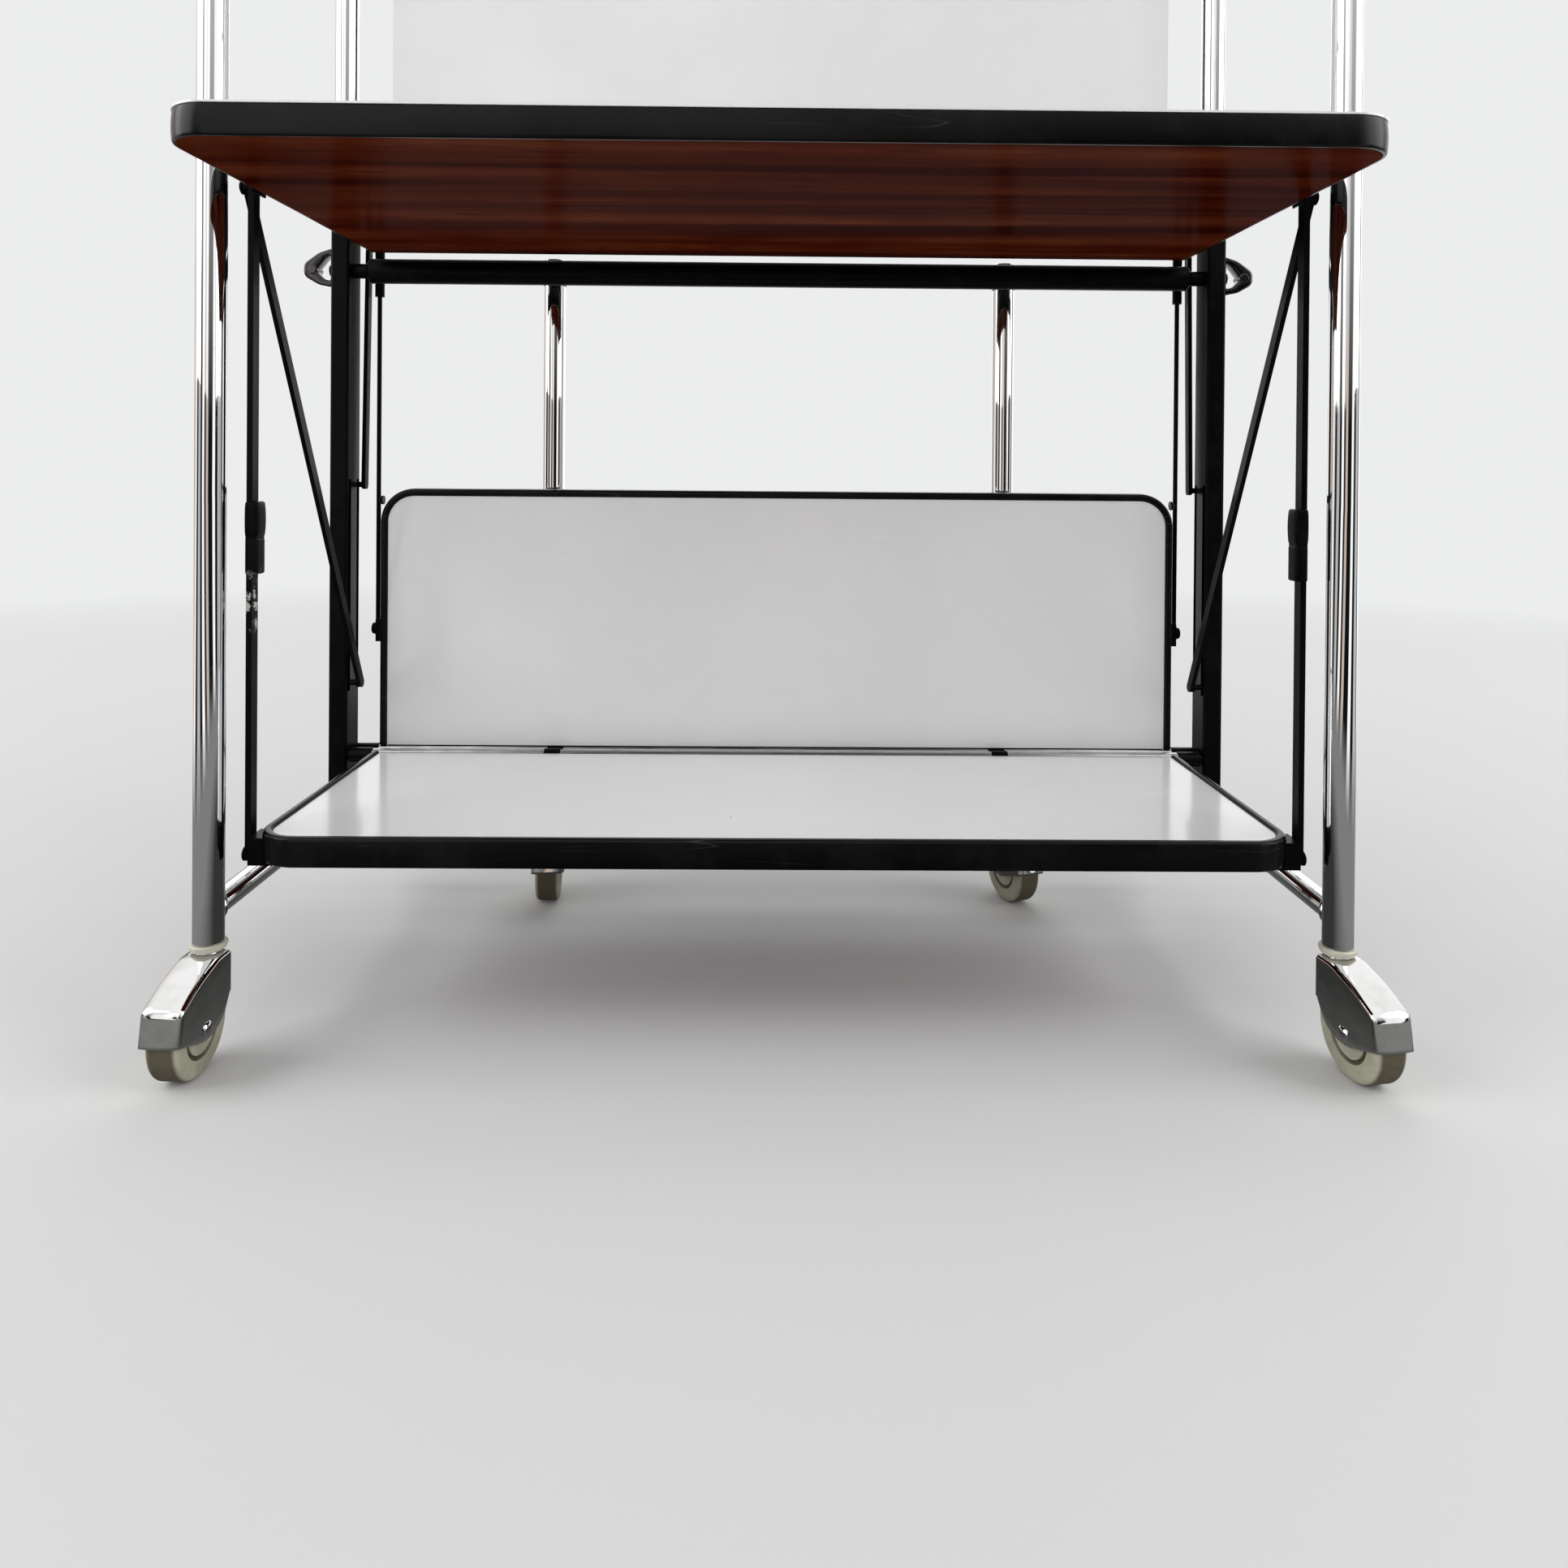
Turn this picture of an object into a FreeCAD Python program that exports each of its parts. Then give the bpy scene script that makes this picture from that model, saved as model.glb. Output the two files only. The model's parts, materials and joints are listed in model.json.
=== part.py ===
import FreeCAD, Part
import math
import os
import re
import Sketcher

# A folding tea trolley on castors. Two chrome hoops carry two black posts. Each of the two trays is a
# front and a rear leaf, hinged between the posts. Link rods turn the upper and lower leaf together,
# stays hold the upper leaf level, and the rear legs swing out when the rear leaves come down.
#
# +Z is up, +X runs along the trays, and -Y is the side that a person stands at. The origin is on the
# floor, below the middle of the trolley as it stands, with the front leaves level and the rear raised.

# Driving sizes, in millimetres and degrees.
SIZES = {
    # Hoops, struts and posts
    "leg_diameter": 16.0,
    "leg_wall": 1.2,
    "leg_spacing": 616.0,
    "leg_advance": 16.0,
    "castor_height": 62.0,
    "hoop_height": 772.0,
    "hoop_bend": 62.0,
    "post_width": 13.0,
    "post_depth": 23.0,
    "post_wall": 2.0,
    "post_round": 2.0,
    "post_rise": 61.4,
    "post_bottom": 58.0,
    "post_cap": 4.0,
    "slot_width": 4.4,
    "slot_offset": 7.5,
    "slot_margin": 4.0,
    "strut_diameter": 13.0,
    "strut_height": 78.5,
    "crossbar_diameter": 17.5,
    "crossbar_neck_diameter": 10.5,
    "crossbar_reach": 290.5,
    "crossbar_height": 458.6,
    "rail_diameter": 14.0,
    # Leaves and their pivot rods
    "pivot_offset": 6.5,
    "rod_diameter": 9.0,
    "pin_diameter": 4.4,
    "pin_end_gap": 1.0,
    "side_gap": 0.5,
    "running_gap": 0.08,
    "rod_proud": 2.0,
    "surface_rise": 27.4,
    "lower_surface": 119.3,
    "top_overhang": 107.0,
    "lower_overhang": 18.0,
    "top_front_width": 574.0,
    "top_rear_width": 554.0,
    "lower_width": 568.0,
    "top_thickness": 16.0,
    "lower_thickness": 15.0,
    "corner_radius": 24.0,
    "top_band_width": 2.2,
    "lower_band_width": 5.5,
    "top_band_round": 0.8,
    "lower_band_round": 1.6,
    "rim_rise": 1.5,
    "sheet_thickness": 1.0,
    "hinge_edge": 3.0,
    # Links, stays and the studs that they turn on
    "link_reach": 170.0,
    "rear_link_reach": 86.0,
    "stud_drop": 10.5,
    "stud_diameter": 4.0,
    "stud_head_diameter": 8.0,
    "stud_head": 1.2,
    "lane_gap": 0.3,
    "open_gap": 0.3,
    "front_plate": 1.0,
    "rear_plate": 10.9,
    "rear_spacer": 3.4,
    "bracket_length": 16.0,
    "bracket_foot": 4.0,
    "bracket_rise": 11.0,
    "bracket_grip": 9.0,
    "link_width": 7.0,
    "front_link_thickness": 3.3,
    "sleeve_height": 39.0,
    "sleeve_width": 6.2,
    "sleeve_depth": 9.0,
    "sleeve_drop": 173.0,
    "rear_rod_diameter": 3.2,
    "rear_tube_diameter": 6.6,
    "rear_tube_drop": 10.5,
    "rear_tube_length": 116.0,
    "rear_eye_diameter": 9.0,
    "rear_eye_thickness": 3.6,
    "stay_width": 6.5,
    "stay_thickness": 2.8,
    "stay_foot_height": 168.0,
    "rear_stay_length": 262.5,
    "foot_gap": 0.5,
    # Swinging rear legs
    "gate_leg_spacing": 342.0,
    "gate_reach": 156.0,
    "gate_setback": 56.0,
    "gate_leg_rise": 19.4,
    "gate_leg_cap": 3.0,
    "barrel_diameter": 18.0,
    "barrel_height": 24.0,
    "gate_pin_diameter": 8.0,
    "lug_radius": 11.0,
    "lug_thickness": 4.0,
    "lug_plate": 3.0,
    "flat_gap": 0.3,
    # Catch levers
    "lever_reach": 21.0,
    "lever_height": 25.0,
    "lever_nose": 13.0,
    "lever_depth": 11.0,
    "lever_strip": 2.0,
    "lever_round": 5.4,
    "lever_rivet_diameter": 6.0,
    "lever_rivet_inset": 4.6,
    "lever_rivet_proud": 0.8,
    "lever_pin_diameter": 5.0,
    "lever_head_diameter": 8.0,
    "lever_head": 1.4,
    # Castors
    "collar_diameter": 19.5,
    "collar_height": 4.3,
    "collar_plug": 24.0,
    "collar_round": 1.2,
    "stem_diameter": 8.0,
    "stem_length": 27.0,
    "wheel_diameter": 49.0,
    "wheel_width": 17.0,
    "wheel_round": 3.0,
    "wheel_ring_diameter": 30.0,
    "wheel_ring_width": 2.0,
    "wheel_ring_depth": 1.0,
    "axle_diameter": 5.0,
    "axle_head": 1.2,
    "trail": 20.3,
    "hood_width": 22.0,
    "hood_wall": 1.4,
    "hood_back": 5.0,
    "hood_flat": 9.0,
    "hood_edge": 3.2,
    "hood_roof": 1.6,
    "nose_reach": 44.0,
    "nose_top": 44.5,
    "nose_bottom": 27.0,
    "nose_round": 3.0,
    "nose_lip": 3.0,
    "cheek_bottom": 18.0,
    "cheek_back": 34.0,
    "cheek_round": 16.0,
    "heel_round": 8.0,
    "front_left_swivel": 2.0,
    "front_right_swivel": 8.5,
    "rear_left_swivel": 7.0,
    "rear_right_swivel": 19.0,
    "overrun": 5.0,
}

# Places and sizes that follow from the driving ones.
DERIVED = {
    "top_leaf_length": "link_reach + top_overhang",
    "lower_leaf_length": "link_reach + lower_overhang",
    "side_depth": "link_reach + leg_advance",
    "post_y": "(pivot_offset + top_leaf_length - gate_setback - lug_radius) / 2",
    "front_leg_y": "post_y - side_depth",
    "gate_y": "post_y + gate_setback",
    "post_top": "crossbar_height + post_rise",
    "post_height": "post_top - post_bottom",
    "inner_face": "(leg_spacing - post_width) / 2",
    "outer_face": "(leg_spacing + post_width) / 2",
    "leg_bore": "leg_diameter - 2 * leg_wall",
    "face_height": "rod_diameter / 2 - rod_proud",
    "top_surface": "crossbar_height + surface_rise",
    "top_axis": "top_surface - face_height",
    "lower_axis": "lower_surface - face_height",
    "pin_reach": "inner_face + post_wall + pin_end_gap",
    "front_plate_face": "top_front_width / 2 + front_plate",
    "rear_plate_face": "top_rear_width / 2 + rear_plate",
    "front_link_lane": "front_plate_face + lane_gap + front_link_thickness / 2",
    "front_stay_lane": "front_link_lane + front_link_thickness / 2 + lane_gap + stay_thickness / 2",
    "rear_link_lane": "rear_plate_face + lane_gap + rear_eye_thickness / 2",
    "rear_stay_lane": "rear_link_lane + rear_eye_thickness / 2 + rear_spacer + stay_thickness / 2",
    "front_stud_end": "front_stay_lane + stay_thickness / 2 + lane_gap",
    "rear_stud_end": "rear_stay_lane + stay_thickness / 2 + lane_gap",
    "lower_front_stud_end": "front_link_lane + front_link_thickness / 2 + lane_gap",
    "lower_rear_stud_end": "rear_link_lane + rear_eye_thickness / 2 + lane_gap",
    "link_length": "top_axis - lower_axis",
    "front_reach": "link_reach",
    "rear_reach": "rear_link_reach",
    "stay_run": "link_reach + pivot_offset - slot_offset",
    "stay_rise": "top_axis - stud_drop - stay_foot_height",
    "front_stay_length": "sqrt(stay_run * stay_run + stay_rise * stay_rise)",
    "stay_lean": "stud_drop + pivot_offset - slot_offset",
    "raised_foot": "top_axis + link_reach - sqrt(front_stay_length * front_stay_length - stay_lean * stay_lean)",
    "sleeve_shift": "(sleeve_width - front_link_thickness) / 2",
    "gate_pivot_x": "gate_leg_spacing / 2 + gate_reach",
    "barrel_bottom": "strut_height - barrel_height / 2",
    "barrel_top": "strut_height + barrel_height / 2",
    "gate_leg_top": "crossbar_height + gate_leg_rise",
    "hood_top": "castor_height - collar_height - flat_gap",
    "wheel_radius": "wheel_diameter / 2",
}

SIDES = {"left": -1, "right": 1}
X_AXIS = FreeCAD.Vector(1, 0, 0)
Y_AXIS = FreeCAD.Vector(0, 1, 0)
Z_AXIS = FreeCAD.Vector(0, 0, 1)

os.makedirs("parts", exist_ok=True)
doc = FreeCAD.newDocument("TeaTrolley")
sheet = doc.addObject("Spreadsheet::Sheet", "Sizes")
for row, (size_name, size) in enumerate(SIZES.items(), start=1):
    sheet.set(f"A{row}", size_name)
    sheet.set(f"B{row}", str(size))
    sheet.setAlias(f"B{row}", size_name)
doc.recompute()

pieces = []


def formula(text):
    """Spell a formula of size names out as an expression on the sheet."""
    def spell(match):
        word = match.group()
        if word in DERIVED:
            return "(" + formula(DERIVED[word]) + ")"
        if word in SIZES:
            return "Sizes." + word
        return word
    return re.sub(r"[a-z][a-z_]*", spell, text)


def value(text):
    """Work a formula out with the sheet's sizes as they are now."""
    return float(sheet.evalExpression(formula(text)))


def bind(target, **formulas):
    """Bind an object's own sizes to formulas."""
    for name, text in formulas.items():
        target.setExpression(name, formula(text))
    return target


def place(target, x="0", y="0", z="0", rotation=None, angle=None):
    """Stand an object at formulas x, y and z, turned by a rotation whose angle may be a formula too."""
    target.Placement = FreeCAD.Placement(FreeCAD.Vector(), rotation or FreeCAD.Rotation())
    for name, text in (("x", x), ("y", y), ("z", z)):
        target.setExpression(f"Placement.Base.{name}", formula(text))
    if angle:
        target.setExpression("Placement.Rotation.Angle", formula(angle))
    return target


def keep(target, label):
    """Name a finished sub-part and list it for export."""
    target.Label = label
    pieces.append(target)
    return target


def new_body(label):
    """Start a sub-part that is built up from sketches."""
    return keep(doc.addObject("PartDesign::Body", label), label)


def new_sketch(body, role, offset=None):
    """Start a sketch on one of a body's origin planes, raised by a formula along the plane's normal."""
    sketch = body.newObject("Sketcher::SketchObject", body.Label + "_sketch")
    plane = next(feature for feature in body.Origin.OriginFeatures if feature.Role == role)
    sketch.AttachmentSupport = (plane, [""])
    sketch.MapMode = "FlatFace"
    if offset:
        sketch.setExpression("AttachmentOffset.Base.z", formula(offset))
    return sketch


def hold(sketch, geometry, point, x, y):
    """Hold one point of a sketch at formulas x and y."""
    for kind, text in (("DistanceX", x), ("DistanceY", y)):
        index = sketch.addConstraint(Sketcher.Constraint(kind, -1, 1, geometry, point, value(text)))
        sketch.setExpression(f"Constraints[{index}]", formula(text))


def polygon(sketch, corners):
    """Draw a closed outline through corners given as pairs of formulas."""
    first = sketch.GeometryCount
    points = [FreeCAD.Vector(value(x), value(y)) for x, y in corners]
    for start, end in zip(points, points[1:] + points[:1]):
        sketch.addGeometry(Part.LineSegment(start, end))
    for step, (x, y) in enumerate(corners):
        following = first + (step + 1) % len(corners)
        sketch.addConstraint(Sketcher.Constraint("Coincident", first + step, 2, following, 1))
        hold(sketch, first + step, 1, x, y)


def rectangle(sketch, left, bottom, right, top):
    """Draw a rectangle between formulas for its four sides."""
    polygon(sketch, [(left, bottom), (right, bottom), (right, top), (left, top)])


def circle(sketch, x, y, diameter):
    """Draw a circle whose centre and diameter are formulas."""
    centre = FreeCAD.Vector(value(x), value(y))
    index = sketch.addGeometry(Part.Circle(centre, Z_AXIS, value(diameter) / 2))
    hold(sketch, index, 3, x, y)
    size_index = sketch.addConstraint(Sketcher.Constraint("Diameter", index, value(diameter)))
    sketch.setExpression(f"Constraints[{size_index}]", formula(diameter))


def pad(body, sketch, length, both_ways=False, backward=False):
    """Add a sketch's outline to a body, to the length of a formula."""
    feature = body.newObject("PartDesign::Pad", body.Label + "_pad")
    feature.Profile = sketch
    feature.Midplane = both_ways
    feature.Reversed = backward
    return bind(feature, Length=length)


def pocket(body, sketch, length, both_ways=False, backward=False):
    """Cut a sketch's outline from a body, to the length of a formula, and see that it cut something."""
    doc.recompute()
    before = body.Shape.Volume
    feature = body.newObject("PartDesign::Pocket", body.Label + "_pocket")
    feature.Profile = sketch
    feature.Midplane = both_ways
    feature.Reversed = backward
    bind(feature, Length=length)
    doc.recompute()
    if not body.Shape.Volume < before:
        raise RuntimeError(body.Label + " has a pocket that cuts nothing")
    return feature


def dress(body, kind, size, test):
    """Round or bevel the edges of a body that pass a test."""
    doc.recompute()
    base = body.Tip
    names = [f"Edge{index}" for index, edge in enumerate(base.Shape.Edges, start=1) if test(edge)]
    feature = body.newObject("PartDesign::" + kind, body.Label + "_" + kind.lower())
    feature.Base = (base, names)
    return bind(feature, **{"Radius" if kind == "Fillet" else "Size": size})


def runs_along(edge, axis):
    """Tell whether an edge is straight and parallel to an axis."""
    if edge.Curve.TypeId != "Part::GeomLine":
        return False
    return abs(abs(edge.tangentAt(edge.FirstParameter).dot(axis)) - 1) < Part.Precision.confusion() * 10


def near(first, second):
    """Tell whether two lengths are the same to a hundredth of a millimetre."""
    return abs(first - second) < SIZES["running_gap"] / 8


def cylinder(name, diameter, length, axis=Z_AXIS, x="0", y="0", z="0"):
    """Make a cylinder that runs from a point along an axis."""
    shape = doc.addObject("Part::Cylinder", name)
    bind(shape, Radius=f"({diameter}) / 2", Height=length)
    return place(shape, x, y, z, FreeCAD.Rotation(Z_AXIS, axis))


def block(name, x_span, y_span, z_span):
    """Make a box between pairs of formulas."""
    shape = doc.addObject("Part::Box", name)
    spans = {"Length": x_span, "Width": y_span, "Height": z_span}
    for size_word, (low, high) in spans.items():
        bind(shape, **{size_word: f"({high}) - ({low})"})
    return place(shape, x_span[0], y_span[0], z_span[0])


def fuse(name, *shapes):
    """Join solids into one."""
    joined = shapes[0]
    for tool in shapes[1:]:
        result = doc.addObject("Part::Fuse", f"{name}_joined")
        result.Base = joined
        result.Tool = tool
        result.Refine = True
        joined = result
    return joined


def cut(name, base, *tools):
    """Take solids away from a solid."""
    for tool in tools:
        result = doc.addObject("Part::Cut", f"{name}_cut")
        result.Base = base
        result.Tool = tool
        base = result
    return base


def hoop(side, sign):
    """Bend one tube into a front leg, a handle and the upright that stands on the post."""
    body = new_body(f"{side}_hoop")
    path = new_sketch(body, "YZ_Plane")
    front, back, bend = value("front_leg_y"), value("post_y"), value("hoop_bend")
    low, high, foot = value("castor_height"), value("hoop_height"), value("post_top")
    shoulder = high - bend
    turns = [
        Part.LineSegment(FreeCAD.Vector(front, low), FreeCAD.Vector(front, shoulder)),
        Part.ArcOfCircle(Part.Circle(FreeCAD.Vector(front + bend, shoulder), Z_AXIS, bend), math.pi / 2, math.pi),
        Part.LineSegment(FreeCAD.Vector(front + bend, high), FreeCAD.Vector(back - bend, high)),
        Part.ArcOfCircle(Part.Circle(FreeCAD.Vector(back - bend, shoulder), Z_AXIS, bend), 0, math.pi / 2),
        Part.LineSegment(FreeCAD.Vector(back, shoulder), FreeCAD.Vector(back, foot)),
    ]
    for turn in turns:
        path.addGeometry(turn)
    leg, front_arc, handle, back_arc, upright = range(len(turns))
    for first, first_end, second, second_end in (
        (leg, 2, front_arc, 2),
        (front_arc, 1, handle, 1),
        (handle, 2, back_arc, 2),
        (back_arc, 1, upright, 1),
    ):
        path.addConstraint(Sketcher.Constraint("Coincident", first, first_end, second, second_end))
    hold(path, leg, 1, "front_leg_y", "castor_height")
    hold(path, leg, 2, "front_leg_y", "hoop_height - hoop_bend")
    hold(path, handle, 1, "front_leg_y + hoop_bend", "hoop_height")
    hold(path, handle, 2, "post_y - hoop_bend", "hoop_height")
    hold(path, upright, 1, "post_y", "hoop_height - hoop_bend")
    hold(path, upright, 2, "post_y", "post_top")
    for arc in (front_arc, back_arc):
        index = path.addConstraint(Sketcher.Constraint("Radius", arc, bend))
        path.setExpression(f"Constraints[{index}]", formula("hoop_bend"))
    ring = new_sketch(body, "XY_Plane", "castor_height")
    circle(ring, "0", "front_leg_y", "leg_diameter")
    circle(ring, "0", "front_leg_y", "leg_bore")
    doc.recompute()
    pipe = body.newObject("PartDesign::AdditivePipe", f"{side}_hoop_pipe")
    pipe.Profile = ring
    pipe.Spine = (path, [f"Edge{index}" for index in range(1, len(turns) + 1)])
    place(body, x=f"{sign} * leg_spacing / 2")


def post(side, sign):
    """Make a box-section post with slots for the stay feet and holes for the leaf pins."""
    body = new_body(f"{side}_post")
    section = new_sketch(body, "XY_Plane")
    rectangle(section, "-post_width / 2", "-post_depth / 2", "post_width / 2", "post_depth / 2")
    pad(body, section, "post_height")
    dress(body, "Fillet", "post_round", lambda edge: runs_along(edge, Z_AXIS))
    hollow = new_sketch(body, "XY_Plane")
    half_width, half_depth = "(post_width / 2 - post_wall)", "(post_depth / 2 - post_wall)"
    rectangle(hollow, f"-{half_width}", f"-{half_depth}", half_width, half_depth)
    pocket(body, hollow, "post_height - post_cap", backward=True)
    openings = new_sketch(body, "YZ_Plane")
    for way in (-1, 1):
        middle = f"{way} * slot_offset"
        rectangle(
            openings,
            f"{middle} - slot_width / 2",
            "stay_foot_height - slot_width / 2 - slot_margin - post_bottom",
            f"{middle} + slot_width / 2",
            "raised_foot + slot_width / 2 + slot_margin - post_bottom",
        )
        for axis_height in ("top_axis", "lower_axis"):
            circle(openings, f"{way} * pivot_offset", f"{axis_height} - post_bottom", "pin_diameter + 2 * running_gap")
    pocket(body, openings, "post_width", backward=sign < 0)
    for diameter, length in (
        ("lever_pin_diameter", "post_width / 2 + lever_strip + 2 * flat_gap"),
        ("lever_head_diameter", "post_width / 2 + lever_strip + 2 * flat_gap + lever_head"),
    ):
        start = None if diameter == "lever_pin_diameter" else f"{sign} * (post_width / 2 + lever_strip + 2 * flat_gap)"
        stud = new_sketch(body, "YZ_Plane", start)
        circle(stud, "0", "crossbar_height - post_bottom", diameter)
        pad(body, stud, length if start is None else "lever_head", backward=sign < 0)
    place(body, x=f"{sign} * leg_spacing / 2", y="post_y", z="post_bottom")


def strut(side, sign):
    """Make the low tube that ties a front leg to its post, with its end shaped to the leg."""
    at_x = f"{sign} * leg_spacing / 2"
    tube = cylinder(
        f"{side}_strut_tube", "strut_diameter", "side_depth - post_depth / 2", Y_AXIS, at_x, "front_leg_y", "strut_height"
    )
    leg = cylinder(
        f"{side}_strut_leg", "leg_diameter", "2 * strut_diameter", Z_AXIS, at_x, "front_leg_y", "strut_height - strut_diameter"
    )
    keep(cut(f"{side}_strut", tube, leg), f"{side}_strut")


def crossbars():
    """Make the two bars that hold the posts apart, the upper one with slim necks at its ends."""
    neck = cylinder(
        "crossbar_neck", "crossbar_neck_diameter", "2 * inner_face", X_AXIS, "-inner_face", "post_y", "crossbar_height"
    )
    middle = cylinder(
        "crossbar_middle", "crossbar_diameter", "2 * crossbar_reach", X_AXIS, "-crossbar_reach", "post_y", "crossbar_height"
    )
    keep(fuse("crossbar", middle, neck), "crossbar")
    keep(
        cylinder("lower_rail", "rail_diameter", "2 * inner_face", X_AXIS, "-inner_face", "post_y", "strut_height"),
        "lower_rail",
    )


def gate_bracket(side, sign):
    """Make the bracket behind a post, two lugs and the fixed pin that a rear leg swings on."""
    body = new_body(f"{side}_gate_bracket")
    pin_x = f"{sign} * (gate_pivot_x - leg_spacing / 2)"
    near_edge, far_edge = f"{-sign} * post_width / 2", f"{sign} * post_width / 2"
    lug_bottoms = ("barrel_bottom - flat_gap - lug_thickness", "barrel_top + flat_gap")
    back = new_sketch(body, "XY_Plane", lug_bottoms[0])
    rectangle(back, "-post_width / 2", "post_depth / 2", "post_width / 2", "post_depth / 2 + lug_plate")
    pad(body, back, "barrel_height + 2 * flat_gap + 2 * lug_thickness")
    for bottom in lug_bottoms:
        arm = new_sketch(body, "XY_Plane", bottom)
        polygon(arm, [
            (near_edge, "post_depth / 2"),
            (far_edge, "post_depth / 2"),
            (f"{pin_x} + {sign} * lug_radius", "gate_setback"),
            (f"{pin_x} - {sign} * lug_radius", "gate_setback"),
        ])
        pad(body, arm, "lug_thickness")
        eye = new_sketch(body, "XY_Plane", bottom)
        circle(eye, pin_x, "gate_setback", "2 * lug_radius")
        pad(body, eye, "lug_thickness")
    pin = new_sketch(body, "XY_Plane", lug_bottoms[0])
    circle(pin, pin_x, "gate_setback", "gate_pin_diameter")
    pad(body, pin, "barrel_height + 2 * flat_gap + 2 * lug_thickness")
    place(body, x=f"{sign} * leg_spacing / 2", y="post_y")


# A leaf is drawn with its pivot axis along X through the origin, its free edge towards +Y and its face
# up. Front leaves then turn to face the front, and rear leaves stand up.
LEAF_TURNS = {"front": FreeCAD.Rotation(Z_AXIS, 180), "rear": FreeCAD.Rotation(X_AXIS, 90)}
LEAF_WAYS = {"front": -1, "rear": 1}


def place_leaf(target, tray, half):
    """Stand a piece of a leaf where the leaf hangs between the posts."""
    return place(target, y=f"post_y + {LEAF_WAYS[half]} * pivot_offset", z=f"{tray}_axis", rotation=LEAF_TURNS[half])


def leaf_width(tray, half):
    """Give the size that sets a leaf's width."""
    return "lower_width" if tray == "lower" else f"top_{half}_width"


def leaf_slab(label, width, start, length, bottom, top, radius):
    """Make a slab of a leaf's outline, with its two free corners rounded."""
    body = new_body(label)
    outline = new_sketch(body, "XY_Plane", bottom)
    rectangle(outline, f"-({width}) / 2", start, f"({width}) / 2", length)
    pad(body, outline, f"({top}) - ({bottom})")
    free_edge = value(length)
    dress(body, "Fillet", radius, lambda edge: runs_along(edge, Z_AXIS) and near(edge.CenterOfMass.y, free_edge))
    return body


def seat_rod(body):
    """Hollow a leaf's hinge edge out to the round of its pivot rod."""
    seat = new_sketch(body, "YZ_Plane")
    circle(seat, "0", "0", "rod_diameter")
    pocket(body, seat, "leg_spacing", both_ways=True)


def leaf_band(label, tray, width, length, bottom, top, rounded):
    """Make the edge band that runs round three sides of a leaf."""
    body = new_body(label)
    outline = new_sketch(body, "XY_Plane", bottom)
    band_width = f"{tray}_band_width"
    outer, inner = f"({width} / 2)", f"({width} / 2 - {band_width})"
    polygon(outline, [
        (f"-{outer}", "hinge_edge"),
        (f"-{outer}", length),
        (outer, length),
        (outer, "hinge_edge"),
        (inner, "hinge_edge"),
        (inner, f"{length} - {band_width}"),
        (f"-{inner}", f"{length} - {band_width}"),
        (f"-{inner}", "hinge_edge"),
    ])
    pad(body, outline, f"({top}) - ({bottom})")
    outside, inside = value(length), value(f"{length} - {band_width}")
    dress(body, "Fillet", "corner_radius", lambda edge: runs_along(edge, Z_AXIS) and near(edge.CenterOfMass.y, outside))
    dress(
        body,
        "Fillet",
        f"corner_radius - {band_width}",
        lambda edge: runs_along(edge, Z_AXIS) and near(edge.CenterOfMass.y, inside),
    )
    heights = [value(text) for text in rounded]
    half_outside, half_inside = value(outer), value(inner)
    hinge_y = value("hinge_edge")

    def follows_rim(edge):
        middle = edge.CenterOfMass
        level = any(near(middle.z, height) and near(edge.BoundBox.ZLength, 0) for height in heights)
        return level and not near(middle.y, hinge_y)

    dress(body, "Fillet", f"{tray}_band_round", follows_rim)
    seat_rod(body)
    return body


def leaf(tray, half):
    """Make one leaf: its board, the white sheet on it, the band round it and its pivot rod."""
    name = f"{tray}_{half}"
    width, length, band_width = leaf_width(tray, half), f"{tray}_leaf_length", f"{tray}_band_width"
    face = "face_height"
    bottom = f"{face} - {tray}_thickness"
    inner_width, inner_length = f"{width} - 2 * {band_width}", f"{length} - {band_width}"
    inner_radius = f"corner_radius - {band_width}"
    board_top = f"{face} - sheet_thickness"
    board = leaf_slab(f"{name}_board", inner_width, "hinge_edge", inner_length, bottom, board_top, inner_radius)
    if tray == "top":
        sheet_body = leaf_slab(f"{name}_sheet", width, "hinge_edge", length, board_top, face, "corner_radius")
        band = leaf_band(f"{name}_band", tray, width, length, bottom, board_top, [bottom])
    else:
        sheet_body = leaf_slab(f"{name}_sheet", inner_width, "hinge_edge", inner_length, board_top, face, inner_radius)
        rim = f"{face} + rim_rise"
        band = leaf_band(f"{name}_band", tray, width, length, bottom, rim, [bottom, rim])
    for slab in (board, sheet_body):
        seat_rod(slab)
    shoulder = f"{width} / 2" if tray == "top" else "inner_face - side_gap"
    rod = cylinder(f"{name}_rod_middle", "rod_diameter", f"2 * ({shoulder})", X_AXIS, f"-({shoulder})")
    pins = cylinder(f"{name}_rod_pins", "pin_diameter", "2 * pin_reach", X_AXIS, "-pin_reach")
    pivot_rod = keep(fuse(f"{name}_pivot_rod", rod, pins), f"{name}_pivot_rod")
    for target in (board, sheet_body, band, pivot_rod):
        place_leaf(target, tray, half)


def outline_tool():
    """Make the lower leaf's whole outline, for shaping the brackets that hug its corners."""
    tool = leaf_slab(
        "lower_outline",
        "lower_width",
        "hinge_edge",
        "lower_leaf_length",
        "face_height - lower_thickness",
        "face_height",
        "corner_radius",
    )
    pieces.remove(tool)
    return tool


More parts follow.
